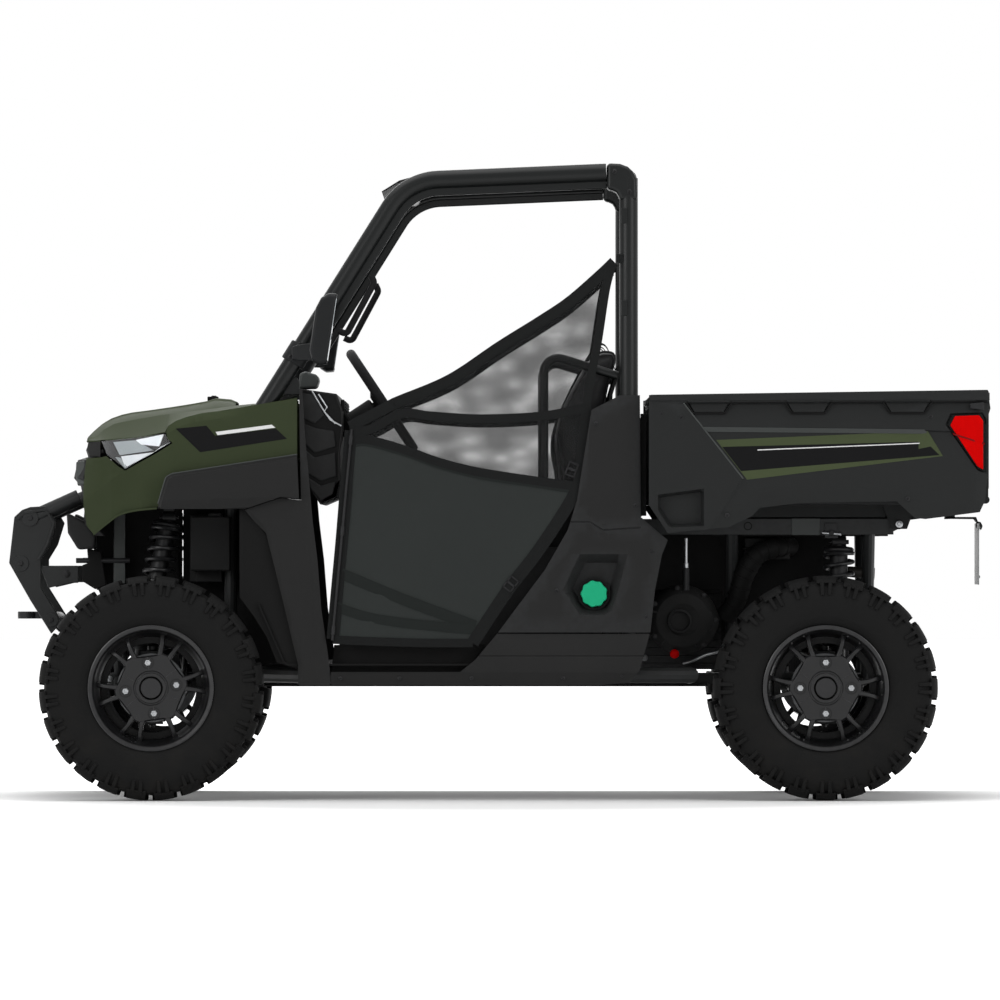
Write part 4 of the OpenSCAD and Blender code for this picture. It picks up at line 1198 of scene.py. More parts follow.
def cage():
    pair("cage_rail", cage_tube(), "cage_paint", node="cage_front")
    pair("cage_flange", cage_web(), "cage_paint", bevel=1.5)
    pair("rear_pillar", rear_pillar(), "cage_paint", bevel=0.8, node="cage_rear")
    pair("roof_corner", corner_casting(), "cage_paint", bevel=13, segments=4)
    places = [(-357, 1920), (-403, 1858)]
    pair("roof_corner_bolts", cage_bolts(places, 29), "dark_steel", bevel=0.3)
    anchors = [block((-384, 628, 1640), (-362, 662, 1668)), block((-384, 664, 1196), (-362, 690, 1222))]
    pair("net_anchors", anchors, "webbing", bevel=2)
    bars = joined(rod((267, -610, 1871), (267, 610, 1871), 50, 32), rod((-400, -606, 1900),
        (-400, 606, 1900), 50, 32), rod((-400, -655, 1180), (-400, 655, 1180), 44, 28))
    piece("cage_crossbars", bars, "cage_paint")
    visor = [(356, 1861), (301, 1895), (239, 1912), (239, 1907), (300, 1890), (353, 1858)]
    piece("header_visor", slab(visor, -585, 585), "black_plastic", bevel=2, segments=3)
    gusset = [(714, 1238), (680, 1268), (642, 1300), (612, 1290), (606, 1281), (604, 1238)]
    pair("pillar_gusset", leaned(slab(gusset, -4, 4)), "cage_paint", bevel=2.5, segments=3)
    feet = [(646, 1279), (671, 1240)]
    pair("pillar_gusset_bolts", cage_bolts(feet, 4), "dark_steel", bevel=0.3)
    pair("hip_bar", tube(bend([(-141, 622, 776), (-141, 622, 1366), (-366, 622, 1296)], 44, 10), 28, 20),
        "cage_paint", node="hip_bars")
    pair("grab_handle", leaned(tube(bend([(486, 0, 1434), (462, 0, 1423), (377, 0, 1582), (387, 0, 1604)],
        16, 8), 20, 20)), "grip_rubber", node="grab_handles")


MIRROR_RAKE = Matrix(((1, 0, -0.15, 0.15 * 1545), (0, 1, 0, 0), (0, 0, 1, 0), (0, 0, 0, 1)))


def mirror_head():
    """A housing with rounded ends, deeper at the middle of its back."""
    rows = []
    for y, inset in ((738, 12), (744, 3), (756, 0), (848, 0), (859, 3), (866, 13)):
        rows.append([(487 + inset * 0.4, y, 1328 + inset), (487 + inset * 0.4, y, 1543 - inset),
            (512, y, 1545 - inset), (534, y, 1532 - inset), (546 - inset * 0.4, y, 1500),
            (546 - inset * 0.4, y, 1371), (534, y, 1339 + inset), (512, y, 1326 + inset)])
    return moved(capped_loft(rows), MIRROR_RAKE)


def mirror_arm():
    rows = []
    for x, y0, y1, z0, z1 in ((628, 692, 714, 1346, 1384), (606, 696, 724, 1342, 1390),
            (580, 712, 752, 1341, 1393), (546, 738, 768, 1340, 1392)):
        rows.append([(x, y0, z0), (x, y1, z0), (x, y1, z1), (x, y0, z1)])
    return capped_loft(rows)


def mirror_clamp():
    direction = (-50, 0, 80)
    ring = hoop([(29.5, 0), (36, 0), (37.5, 3), (37.5, 58), (36, 61), (29.5, 61)], (628, 0, 1335),
        direction, 40)
    return leaned(ring)


def mirrors():
    pair("mirror_head", mirror_head(), "mirror_shell", bevel=4, segments=3, node="side_mirrors")
    pair("mirror_arm", mirror_arm(), "mirror_shell", bevel=4, segments=3)
    pair("mirror_clamp", mirror_clamp(), "mirror_shell", bevel=0.8)
    pair("mirror_clamp_bolts", leaned(bolts([(634, 37, 1352), (606, 37, 1390)], LEFT, 7, True)),
        "dark_steel")
    glass = [(748, 1340), (856, 1340), (858, 1520), (846, 1533), (756, 1533), (746, 1522)]
    pair("mirror_glass", moved(wall(glass, 486.6, 489), MIRROR_RAKE), "mirror_face", bevel=0.8)


# ---- Seats ----

def cushion_rows(outline, y_low, y_high):
    """A padded block whose side outline tucks in towards its two ends."""
    rows = []
    for k in range(15):
        y = y_low + (y_high - y_low) * (0.5 - 0.5 * cos(pi * k / 14))
        tuck = 1 - min(min(y - y_low, y_high - y) / 34, 1)
        s = 1 - 0.16 * tuck ** 2.2
        rows.append([(x, y, z) for x, z in scaled(outline, s, s)])
    return rows


def swelled(obj, cap, still):
    """Blows the cushion up like a filled cover, no point further than cap (mm) from where it started."""
    scene = bpy.context.scene
    remesh = obj.modifiers.new("voxels", "REMESH")
    remesh.mode = "VOXEL"
    remesh.voxel_size = 0.011
    bpy.context.view_layer.update()
    graph = bpy.context.evaluated_depsgraph_get()
    mesh = bpy.data.meshes.new_from_object(obj.evaluated_get(graph))
    start = np.array([v.co for v in mesh.vertices])
    copy = linked("filling", mesh)
    copy.matrix_world = obj.matrix_world
    held = copy.vertex_groups.new(name="held")
    held.add([k for k, p in enumerate(start) if still(p / MM)], 1.0, "REPLACE")
    cloth = copy.modifiers.new("cover", "CLOTH")
    cloth.settings.use_pressure = True
    cloth.settings.uniform_pressure_force = 4.0
    cloth.settings.effector_weights.gravity = 0.0
    cloth.settings.vertex_group_mass = "held"
    cloth.settings.quality = 4
    for frame in range(1, 21):
        scene.frame_set(frame)
    graph = bpy.context.evaluated_depsgraph_get()
    shaped = copy.evaluated_get(graph).to_mesh()
    moved_to = np.array([v.co for v in shaped.vertices])
    step = moved_to - start
    far = np.linalg.norm(step, axis=1, keepdims=True)
    step = step * np.minimum(1.0, cap * MM / np.maximum(far, 1e-9))
    obj.modifiers.remove(remesh)
    old = obj.data
    mesh = copy.data.copy()
    mesh.vertices.foreach_set("co", (start + step).astype(np.float32).ravel())
    mesh.materials.clear()
    mesh.materials.append(old.materials[0])
    obj.data = mesh
    bpy.data.objects.remove(copy)
    scene.frame_set(1)
    for face in mesh.polygons:
        face.use_smooth = True


def padded_piece(name, outline, y_low, y_high, flat):
    """One filled cushion; it is flat where it rests on its base or shell."""
    fine = [(p.x, p.z) for p in smooth([(x, 0, z) for x, z in outline], 4, closed=True)]
    obj = piece(name, capped_loft(cushion_rows(fine, y_low, y_high)), "vinyl", angle=60)
    swelled(obj, 9, flat)
    soft = obj.modifiers.new("soft", "SUBSURF")
    soft.levels = soft.render_levels = 1
    return obj


CUSHION = [(-160, 784), (60, 786), (280, 788), (312, 812), (314, 846), (284, 876), (100, 872), (-90, 862),
    (-160, 864), (-165, 826)]
BACKREST = [(-180, 884), (-194, 950), (-194, 1010), (-186, 1060), (-184, 1110), (-205, 1190), (-262, 1300),
    (-300, 1362), (-336, 1374), (-360, 1352), (-331, 1240), (-323, 1100), (-302, 980), (-284, 886),
    (-232, 880)]


def piping_round(outline, y):
    line = [(x, y, z) for x, z in scaled(outline, 0.985, 0.985)]
    return tube(smooth(line, 5, closed=True), 7, 8, closed=True)


def belt(y, side):
    """A lap and shoulder belt laid down the front of the backrest."""
    points = [(-366, y + 60 * side, 1300), (-330, y + 55 * side, 1392), (-284, y + 50 * side, 1362),
        (-196, y + 40 * side, 1190), (-172, y + 30 * side, 1090), (-186, y + 25 * side, 980),
        (-164, y + 90 * side, 900)]
    return sweep(smooth(points, 6), [(-1.2, -24), (1.2, -24), (1.2, 24), (-1.2, 24)])


def seats():
    for name, low, high in (("driver", 132, 600), ("bench", -600, 120)):
        seat = padded_piece(f"seat_cushion_{name}", CUSHION, low + 8, high - 8, lambda p: p[2] < 800)
        back = padded_piece(f"seat_back_{name}", BACKREST, low + 8, high - 8,
            lambda p: p[0] < float(lookup(p[2], [(880, -270), (1100, -300), (1374, -350)])))
        if name == "driver":
            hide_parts("seat_cushions")
            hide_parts("seat_backs")
        for y in (low + 26, high - 26):
            piece(f"seat_piping_{name}_{'inner' if y < 300 and y > 0 else 'outer'}_{int(abs(y))}",
                [piping_round(CUSHION, y), piping_round(BACKREST, y)], "piping")
        ribs = []
        steps = 5 if name == "driver" else 8
        for k in range(1, steps):
            y = low + (high - low) * k / steps
            ribs.append(tube(smooth([(280, y, 876), (100, y, 874), (-90, y, 864), (-150, y, 862)], 4), 5,
                6))
            ribs.append(tube(smooth([(-186, y, 900), (-196, y, 980), (-185, y, 1090), (-207, y, 1190),
                (-264, y, 1300)], 4), 5, 6))
        piece(f"seat_stitching_{name}", ribs, "piping")
    shells = []
    for low, high in ((150, 582), (-582, 102)):
        shells.append(slab([(-372, 1340), (-341, 1238), (-333, 1100), (-312, 980), (-294, 880), (-300, 870),
            (-318, 870), (-326, 980), (-345, 1100), (-352, 1240), (-380, 1330)], low, high))
    piece("seat_shells", shells, "black_plastic", bevel=3)
    bases = [block((-150, low, 772), (286, high, 786)) for low, high in ((150, 582), (-582, 102))]
    piece("seat_bases", bases, "dark_plastic", bevel=2)
    for number, y in enumerate((366, -110, -470)):
        piece(f"seat_belt_{number + 1}", belt(y, 1 if y > 0 else -1), "webbing")
        buckle = joined(block((-150, y - 60, 868), (-90, y - 30, 884)), block((-170, y - 56, 850),
            (-150, y - 34, 880)))
        piece(f"belt_buckle_{number + 1}", buckle, "dark_plastic", bevel=3)
    keep_node("seat_box", "black_plastic", 3)


# ---- Dashboard, controls and floor ----

STEER_HUB, STEER_TILT = Vector((356, 400, 1222)), radians(56.4)


def on_column(bm):
    return moved(bm, Matrix.Translation(STEER_HUB) @ Matrix.Rotation(-STEER_TILT, 4, "Y"))


def steering():
    section = [(15 * cos(a), 15 * sin(a)) for a in np.linspace(0, 2 * pi, 17)[:-1]]
    rim_bm = hoop([(172 + a, b) for a, b in section], (0, 0, 0), UP, 72)
    piece("steering_rim", on_column(rim_bm), "grip_rubber", "steering_wheel", angle=60,
        node="steering_wheel")
    spokes = []
    for a in (0, 120, 240):
        turn = Matrix.Rotation(radians(a), 4, "Z")
        rows = []
        for r, w, z in ((34, 24, -6), (80, 17, -5), (130, 14, -2), (164, 17, 0)):
            rows.append([(r, -w, z - 7), (r, w, z - 7), (r, w * 0.86, z + 3), (r, -w * 0.86, z + 3)])
        spokes.append(moved(capped_loft(rows), turn))
    piece("steering_spokes", on_column(joined(*spokes)), "black_plastic", "steering_wheel", bevel=3,
        segments=3)
    pad = turned([(0, -25), (28, -25), (42, -16), (44, -4), (42, 4), (34, 8), (0, 9)], (0, 0, 0), UP, 48)
    piece("steering_pad", on_column(pad), "dark_plastic", "steering_wheel")
    column = [turned([(0, -160), (27, -160), (27, -34), (22, -29), (0, -28)], (0, 0, 0), UP, 32),
        turned([(0, -40), (12, -40), (12, 5), (0, 5)], (0, 0, 0), UP, 24)]
    piece("steering_column_shroud", on_column(joined(*column)), "black_plastic", bevel=1,
        node="steering_column")
    lever = tube(smooth([(412, 380, 1100), (400, 372, 1112), (372, 340, 1136), (350, 310, 1150)], 6), 10,
        12)
    knob = turned([(0, 0), (9, 2), (14, 12), (14, 26), (8, 34), (0, 35)], (350, 310, 1150), (-20, -30, 14),
        24)
    piece("gear_lever", [lever, knob], "dark_plastic")


def dashboard():
    shell_line = [(780, 1203), (745, 1210), (640, 1248), (606, 1257), (603, 1252), (639, 1243), (743, 1205),
        (778, 1198)]
    piece("cowl_top", slab(shell_line, -396, 396), "black_plastic", bevel=1.5, node="dashboard")
    face = [(606, 1257), (492, 1241), (474, 1190), (473, 1133), (482, 1060), (480, 979), (492, 924),
        (542, 902), (573, 948), (567, 950), (540, 909), (496, 929), (487, 980), (488, 1060), (479, 1133),
        (480, 1188), (497, 1235), (606, 1251)]
    piece("dash_shell", slab(face, -630, 630), "black_plastic", bevel=2.5, segments=3)
    ends = [(606, 1255), (494, 1239), (475, 1190), (475, 1133), (484, 1060), (482, 979), (494, 926),
        (541, 905), (571, 948), (600, 1100)]
    pair("dash_end", slab(ends, 622, 628), "dark_plastic", bevel=2)
    facets = [[(598, 1244), (548, 1236), (530, 1176), (560, 1150), (596, 1168)], [(592, 1150), (556, 1136),
        (500, 1128), (494, 1080), (560, 1060), (592, 1090)], [(590, 1072), (560, 1046), (496, 1062),
        (492, 990), (540, 974), (584, 1000)], [(580, 986), (540, 960), (494, 974), (504, 934), (541, 914),
        (572, 950)]]
    pair("dash_facets", [slab(line, 626, 634) for line in facets], "black_plastic", bevel=4)
    binnacle = on_column(turned([(0, -160), (62, -158), (70, -150), (74, -118), (70, -112), (58, -112),
        (56, -120), (0, -122)], (0, 0, 0), UP, 40))
    piece("dial_housing", binnacle, "dark_plastic", bevel=1)
    dial = on_column(turned([(0, -121), (54, -121), (54, -118), (0, -117)], (0, 0, 0), UP, 40))
    piece("dial_face", dial, "mirror_shell")
    box_lid = [(481, 1128), (490, 1062), (476, 1062), (467, 1128)]
    piece("glove_box_lid", slab(box_lid, -560, -180), "edge_plastic", bevel=3, segments=3)
    piece("glove_box_latch", rod((468, -370, 1108), (474, -370, 1108), 30, 24), "dark_plastic")
    vents = [block((469, y - 45, 1190), (480, y + 45, 1224)) for y in (-480, -120, 180, 560)]
    piece("dash_vents", vents, "dark_plastic", bevel=3)
    slats = [block((467, y - 38, z), (474, y + 38, z + 3)) for y in (-480, -120, 180, 560)
        for z in (1196, 1204, 1212)]
    piece("dash_vent_slats", slats, "edge_plastic")
    rows = [rod((476, y, 1160), (468, y, 1160), 22, 20) for y in (20, 60, 100)]
    piece("dash_switches", rows, "dark_steel", bevel=1)
    piece("passenger_bar", tube(bend([(478, -560, 1150), (440, -560, 1150), (440, -200, 1150),
        (478, -200, 1150)], 24), 22, 16), "grip_rubber")
    hood_line = [(612, 1258), (607, 1304), (592, 1312), (554, 1301), (547, 1286), (556, 1260)]
    piece("dial_hood", slab(hood_line, 250, 520), "edge_plastic", bevel=9, segments=4)
    # Thin bright metal rods laid where the dash shows glints: painted highlights.
    painted_highlight = [[(568, 636, 1250), (536, 636, 1196), (512, 636, 1162), (478, 636, 1143)],
        [(548, 636, 1240), (522, 636, 1200), (530, 636, 1186), (496, 636, 1150)]]
    pair("dash_glint_rods", [tube(line, 5, 8) for line in painted_highlight], "zinc")
    pedals = [block((560, y - 28, 560), (568, y + 28, 640)) for y in (330, 450)]
    arms = [rod((566, y, 640), (600, y, 820), 14, 12) for y in (330, 450)]
    piece("pedals", [*pedals, *arms], "dark_steel", bevel=1.5)


def cabin():
    cover = [(-105, 735), (-250, 735), (-262, 900), (-215, 886)]
    pair("seat_side_cover", slab(cover, 586, 590), "black_plastic", bevel=1)
    keep_node("cabin_floor", "dark_plastic", 0)
    ribs = [block((330, y - 5, 409), (630, y + 5, 415)) for y in range(-600, 601, 60)]
    piece("floor_ribs", ribs, "black_plastic", bevel=1.5)
    piece("radiator_case", block((848, -372, 665), (930, 372, 872)), "black_plastic", bevel=4,
        node="radiator")
    fins = [block((930, -360, z), (946, 360, z + 3)) for z in range(676, 866, 7)]
    piece("radiator_fins", fins, "dark_steel")
    posts = [block((928, y - 4, 667), (948, y + 4, 870)) for y in (-366, -122, 122, 366)]
    piece("radiator_posts", posts, "black_plastic", bevel=1)


cage()
mirrors()
seats()
steering()
dashboard()
cabin()


# ---- Side nets ----

def net_point(x, z, out=0.0):
    """A point on the leaned net plane, a little outside or inside it."""
    return (x, 712 - 3 - (z - 480) * sin(NET_LEAN) + out, z)


def net_line(points, out):
    return smooth([net_point(x, z, out) for x, z in points], 8)


def net_sheet(outline, out, thickness):
    """A cloth panel that puckers a little between its straps."""
    bm = flat(outline, 26)
    random.seed(4)
    phase = [random.uniform(0, 6.28) for _ in range(4)]
    for v in bm.verts:
        x, z = v.co.x, v.co.z
        ripple = sin(x / 61 + phase[0]) * sin(z / 83 + phase[1])
        ripple += 0.5 * sin(x / 31 + z / 47 + phase[2])
        v.co = net_point(x, z, out + 1.2 * ripple)
    return shell(bm, (0, -thickness, 0))


def band(points, width, out):
    """A sewn strap, flat against the net."""
    return strap(net_line(points, out), width, 1.6)


def buckle_pair(x, z, angle):
    turn = Matrix.Translation(net_point(x, z, 2.0)) @ Matrix.Rotation(angle, 4, "Y")
    frame_bar = joined(block((-22, -1.5, -16), (22, 2, -12)), block((-22, -1.5, 12), (22, 2, 16)),
        block((-22, -1.5, -16), (-18, 2, 16)), block((18, -1.5, -16), (22, 2, 16)),
        block((-3, -1.5, -16), (3, 2, 16)))
    return moved(frame_bar, turn)


NET_TOP = [(452, 1140), (328, 1205), (298, 1219), (145, 1284), (-7, 1385), (-129, 1461), (-220, 1522),
    (-312, 1602), (-356, 1644)]
NET_MID = [(452, 1126), (390, 1132), (292, 1180), (206, 1173), (54, 1164), (-129, 1172), (-276, 1198)]
NET_LOW_TOP = [(462, 1099), (405, 1108), (298, 1081), (176, 1038), (54, 1008), (-129, 980), (-241, 965)]
NET_FRONT = [(448, 1128), (461, 977), (476, 794), (490, 642), (503, 492)]
NET_REAR = [(-350, 1636), (-330, 1560), (-306, 1404), (-276, 1236), (-242, 965), (-222, 912), (-124, 762),
    (-30, 640), (76, 480)]
NET_BOTTOM = [(503, 490), (359, 484), (206, 480), (76, 480)]


def side_net(side):
    body = f"side_net_{side}"
    flip = mirrored if side == "right" else (lambda bm: bm)
    low_panel = [(461, 1096), (405, 1104), (298, 1078), (176, 1036), (54, 1005), (-129, 977), (-239, 962),
        (-220, 915), (-124, 765), (-30, 643), (76, 482), (206, 482), (359, 486), (500, 492), (490, 642),
        (476, 794), (462, 977)]
    panel_piece = piece(f"net_panel_{side}", flip(net_sheet(low_panel, -1, 1.6)), "solid_net", body,
        angle=60, node=f"side_net_{side}")
    window = [(446, 1124), (390, 1130), (292, 1178), (206, 1171), (54, 1162), (-129, 1170), (-274, 1196),
        (-240, 966), (-129, 980), (54, 1008), (176, 1038), (298, 1081), (405, 1108), (460, 1099)]
    low_window = piece(f"net_window_{side}", flip(net_sheet(window, -1.4, 0.8)), "see_through_net", body,
        angle=60)
    high = [(386, 1150), (292, 1184), (206, 1177), (54, 1168), (-129, 1176), (-276, 1202), (-304, 1404),
        (-328, 1560), (-346, 1630), (-312, 1598), (-220, 1518), (-129, 1457), (-7, 1381), (145, 1280),
        (298, 1216), (328, 1201)]
    upper = piece(f"net_upper_{side}", flip(net_sheet(high, -1.4, 0.8)), "see_through_net", body, angle=60)
    straps = [band(NET_TOP, 34, 0.6), band(NET_MID, 28, 0.9), band(NET_FRONT, 38, 0.7),
        band(NET_REAR[:5], 26, 0.5), band(NET_REAR[4:], 38, 0.8), band(NET_BOTTOM, 26, 0.7),
        band([(x, z - 7) for x, z in NET_LOW_TOP], 27, 1.0)]
    webbing = piece(f"net_straps_{side}", flip(joined(*straps)), "webbing", body, bevel=0.4, segments=1)
    dark = joined(band([(478, 692), (283, 611), (69, 532)], 34, 0.2), band([(492, 590), (400, 560),
        (283, 541), (69, 520)], 30, 0.2), band([(462, 1080), (405, 1092), (298, 1066), (176, 1024),
        (54, 992), (-129, 964), (-232, 948)], 24, 0.3))
    darker = piece(f"net_seams_{side}", flip(dark), "darker_net", body)
    clips = piece(f"net_buckles_{side}", flip(joined(buckle_pair(-226, 1010, 1.2),
        buckle_pair(-40, 660, 0.9))), "dark_steel", body, bevel=0.5)
    low, high = Vector((505, 714.5, 487)), Vector((446, 682.6, 1132))
    hinge = rod(low, high, 9, 16)
    knuckles = [turned([(0, 0), (7, 0), (7, 26), (0, 26)], low.lerp(high, t), high - low, 20)
        for t in (0.03, 0.5, 0.93)]
    piece(f"net_hinge_rod_{side}", flip(joined(hinge, *knuckles)), "dark_steel", body, bevel=0.3)


for net_side in ("left", "right"):
    side_net(net_side)


# ---- Front body ----

HOOD_TOP = [(797, 1215), (809, 1221), (828, 1229), (874, 1233), (902, 1224), (951, 1215), (1013, 1205),
    (1075, 1196), (1137, 1188), (1168, 1181), (1199, 1170), (1230, 1153), (1254, 1134), (1273, 1116)]
HOOD_EDGE = [(612, 1224), (754, 1214), (805, 1209), (916, 1194), (1039, 1179), (1131, 1163), (1186, 1151),
    (1220, 1129), (1232, 1113), (1290, 1104)]
FENDER_CREASE = [(612, 1228), (754, 1204), (851, 1188), (902, 1182), (950, 1170), (983, 1158), (1006, 1143),
    (1016, 1124), (1096, 1110), (1220, 1100), (1290, 1099)]
FENDER_PLAN = [(600, 700), (612, 700), (1000, 692), (1100, 662), (1180, 606), (1245, 522), (1290, 438),
    (1300, 430)]
HEADLIGHT = [(1218, 1099), (1014, 1121), (1010, 1100), (995, 1090), (1042, 1062), (1139, 1009),
    (1160, 1022), (1198, 1053), (1206, 1062)]


def hood_front(y):
    return 1270 - 35 * (abs(y) / 400) ** 2


def hood_height(x, y):
    """Crowned across, with a raised centre whose edges run together towards the nose."""
    mid, edge = lookup(x, HOOD_TOP), lookup(800 + (x - 800) * (hood_front(y) - 800) / 470, HOOD_EDGE)
    k = (abs(y) / 400) ** 3
    ridge = 96 + 110 * (1270 - x) / 470
    lift = 5.0 * min(max((ridge - abs(y)) / 16 + 0.5, 0), 1) * min((1270 - x) / 60, 1)
    return float(mid * (1 - k) + edge * k) + lift - 3.0


def hood_skin():
    xs = sorted({p[0] for p in HOOD_TOP[1:]} | {812, 850, 925, 982, 1044, 1106, 1152, 1184, 1214, 1243,
        1264, 1270})
    rows = []
    for x in xs:
        ridge = 96 + 110 * (1270 - x) / 470
        half = [0, 45, ridge - 8, ridge, ridge + 8, 250, 290, 330, 362, 385, 399]
        ys = [-y for y in half[:0:-1]] + half
        rows.append([(800 + (x - 800) * (hood_front(y) - 800) / 470, y, hood_height(x, y)) for y in ys])
    return loft(rows, (0, 0, -5))


def crease_drop(x):
    """How far the crease sits inside the fender's side; nothing beside the cage's foot."""
    return 22 * np.clip((np.asarray(x) - 770) / 60, 0.02, 1)


def fender_deck():
    """Shoulder between the hood seam and the crease."""
    rows = [[], [], [], []]
    for x in sorted({612, 640, 690, 754, 800, 851, 880, 902, 930, 950, 970, 983, 995, 1006, 1011, 1016,
            1040, 1096, 1140, 1180, 1212, 1230, 1245, 1262}):
        outer = float(lookup(x, FENDER_PLAN))
        inner = min(405.0, outer - 34)
        z0, z1 = float(lookup(x, HOOD_EDGE)) - 1, float(lookup(x, FENDER_CREASE))
        rows[0].append((x, inner, z0 - 10))
        rows[1].append((x, inner + 3, z0))
        edge = outer - float(crease_drop(x))
        rows[2].append((x, inner + (edge - inner) * 0.55, z0 * 0.52 + z1 * 0.48 - 5))
        rows[3].append((x, edge, z1))
    return loft(rows, (0, 0, -4))


def fender_depth(x, z):
    """How far out the fender's side stands: its plan, the rounded crease and the folded nose."""
    y = lookup(x, FENDER_PLAN)
    y = y - crease_drop(x) * np.clip(1 - (lookup(x, FENDER_CREASE) - z) / 24, 0, 1) ** 1.5
    fold = ((x - 1139) * (934 - 1009) - (z - 1009) * (1245 - 1139)) / 130
    y = y - 0.42 * np.clip(fold, 0, 50) * np.clip((x - 1080) / 60, 0, 1)
    y = y - 0.16 * np.clip(1010 - z, 0, 130) * np.clip((1120 - x) / 60, 0, 1)
    triangle = [(1217, 1046), (1139, 1009), (1212, 958)]
    return y - 9 * np.clip(depth_inside(triangle, x, z) / 22, 0, 1)


FENDER_SIDE = [(1240, 812), (1262, 838), (1272, 900), (1272, 960), (1268, 1003), (1262, 1045), (1217, 1047),
    (1198, 1051), (1160, 1019), (1139, 1006), (1040, 1060), (992, 1090), (1008, 1102), (1012, 1124),
    (1006, 1143), (983, 1158), (950, 1170), (902, 1182), (851, 1188), (754, 1204), (612, 1228), (612, 1055),
    (909, 1011), (994, 997), (1012, 986), (1036, 905), (1038, 896), (1108, 886), (1154, 874), (1184, 855)]


def fender_side():
    top = [(x, z - 24) for x, z in FENDER_CREASE[:7]]
    creases = list(zip(top, top[1:])) + [((1139, 1009), (1245, 934)), ((1245, 934), (1262, 922)),
        ((1217, 1046), (1212, 958)), ((1212, 958), (1139, 1009)), ((1100, 1010), (1100, 890)),
        ((1180, 1000), (1180, 860))]
    return panel(FENDER_SIDE, fender_depth, [([(1217, 1046), (1139, 1009), (1212, 958)], 0, 14)], 4.5, 26,
        creases)


def arch_lip():
    line = [(1240, 812), (1184, 855), (1154, 874), (1108, 886), (1040, 893)]
    rows = []
    for p in smooth([(x, float(lookup(x, FENDER_PLAN)), z) for x, z in line], 5):
        rows.append([(p.x, p.y - 3, p.z + 1), (p.x, p.y - 2, p.z - 5), (p.x, p.y - 26, p.z - 3),
            (p.x, p.y - 26, p.z + 1)])
    return capped_loft(rows)


FLARE = [(1036, 889), (1036, 905), (1012, 986), (994, 996), (612, 1055), (606, 920), (664, 925), (771, 889)]


def flare_depth(x, z):
    """Flare: a bevel along its upper edge, a flat face, and a lower band that tucks under."""
    edge = depth_inside([(1040, 800), (1036, 905), (1012, 986), (994, 996), (500, 1072), (500, 800)], x, z)
    y = 709 + 24 * np.clip(edge / 9, 0, 1)
    low = lookup(x, [(600, 930), (802, 925), (1039, 909)])
    return y - 0.34 * np.clip(low - z, 0, 60)


def flare():
    bevel = [(1025, 905), (1003, 979), (988, 987), (612, 1045)]
    creases = list(zip(bevel, bevel[1:])) + [((1039, 909), (802, 925)), ((802, 925), (600, 930))]
    return panel(FLARE, flare_depth, [], 6, 30, creases)


def flare_lip():
    """Return of the flare towards the wheel."""
    line = [(1036, 889), (900, 889), (771, 889), (664, 925)]
    rows = []
    for x, z in line:
        rows.append([(x, 722, z), (x, 722, z + 5), (x, 660, z + 5), (x, 660, z)])
    return capped_loft(rows)


COWL_SIDE = [(772, 886), (740, 848), (707, 815), (679, 703), (649, 581), (624, 474), (609, 413), (609, 352),
    (512, 352), (512, 398), (520, 459), (538, 581), (550, 733), (565, 855), (578, 1008), (587, 1099),
    (596, 1256), (606, 1256), (604, 1100), (600, 916), (664, 922)]


def cowl_depth(x, z):
    """A face folded along two lines that run down the panel."""
    fold = lookup(z, [(352, 545), (611, 565), (934, 606), (1256, 620)])
    front = lookup(z, [(352, 600), (413, 596), (581, 634), (703, 664), (815, 692), (848, 722), (886, 760)])
    return 706 - 0.22 * np.clip(fold - x, 0, 60) - 0.5 * np.clip(x - front, 0,
        22) + 3 * np.clip((z - 930) / 20, 0, 1)


def cowl_side():
    fold = [(545, 352), (565, 611), (606, 934)]
    front = [(600, 352), (596, 413), (634, 581), (664, 703), (692, 815), (722, 848), (760, 886)]
    creases = list(zip(fold, fold[1:])) + list(zip(front, front[1:])) + [((560, 930), (620, 930))]
    return panel(COWL_SIDE, cowl_depth, [], 5, 30, creases)


LINER = [(771, 890), (788, 886), (788, 620), (744, 560), (706, 500), (674, 420), (611, 400), (609, 413),
    (624, 474), (649, 581), (679, 703), (707, 809)]
ARCH_WALLS = [[(1238, 815), (1184, 894), (987, 894), (987, 640), (1238, 640)],
    [(971, 898), (790, 898), (742, 600), (660, 412), (800, 412), (800, 560), (971, 560)]]


def well_liner():
    """Dark walls that close the wheel well beside the cover and inside the shock."""
    parts = [slab([(x, z) for x, z in LINER], 676, 682)]
    parts += [slab(line, 250, 254) for line in ARCH_WALLS]
    return joined(*parts)


NOSE = [(1258, 1098), (1269, 1071), (1262, 1050), (1294, 1040), (1306, 985), (1285, 960), (1272, 902),
    (1278, 840), (1245, 807)]


def fascia():
    """The nose between the fenders, swept back at its ends, with an open grille."""
    rows = []
    for y, back in ((-478, 34), (-440, 14), (-400, 3), (-330, 0), (-256, 0), (256, 0), (330, 0), (400, 3),
            (440, 14), (478, 34)):
        rows.append([(x - back, y, z) for x, z in NOSE])
    skin = loft(rows)
    grille = [f for f in skin.faces if abs(f.calc_center_median().y) < 100
        and 965 < f.calc_center_median().z < 1035]
    bmesh.ops.delete(skin, geom=grille, context="FACES")
    return shell(skin, (-6, 0, 0))


def grille():
    bars = [block((1268 + 10 * k, -256, 972 + 17 * k), (1290 + 4 * k, 256, 978 + 17 * k)) for k in range(4)]
    posts = [block((1262, y - 4, 962), (1296, y + 4, 1040)) for y in (-256, -128, 0, 128, 256)]
    return joined(*bars, *posts)


def headlight_at(x, z, back=0.0):
    return (x, float(lookup(x, FENDER_PLAN)) - back, z)


def headlight_housing():
    rows = []
    for back in (8, 60):
        rows.append([headlight_at(x, z, back) for x, z in HEADLIGHT])
    bm = loft(rows, closed=True)
    bm.verts.ensure_lookup_table()
    n = len(HEADLIGHT)
    bm.faces.new(bm.verts[n:])
    return shell(bm, (-3, -3, -2))


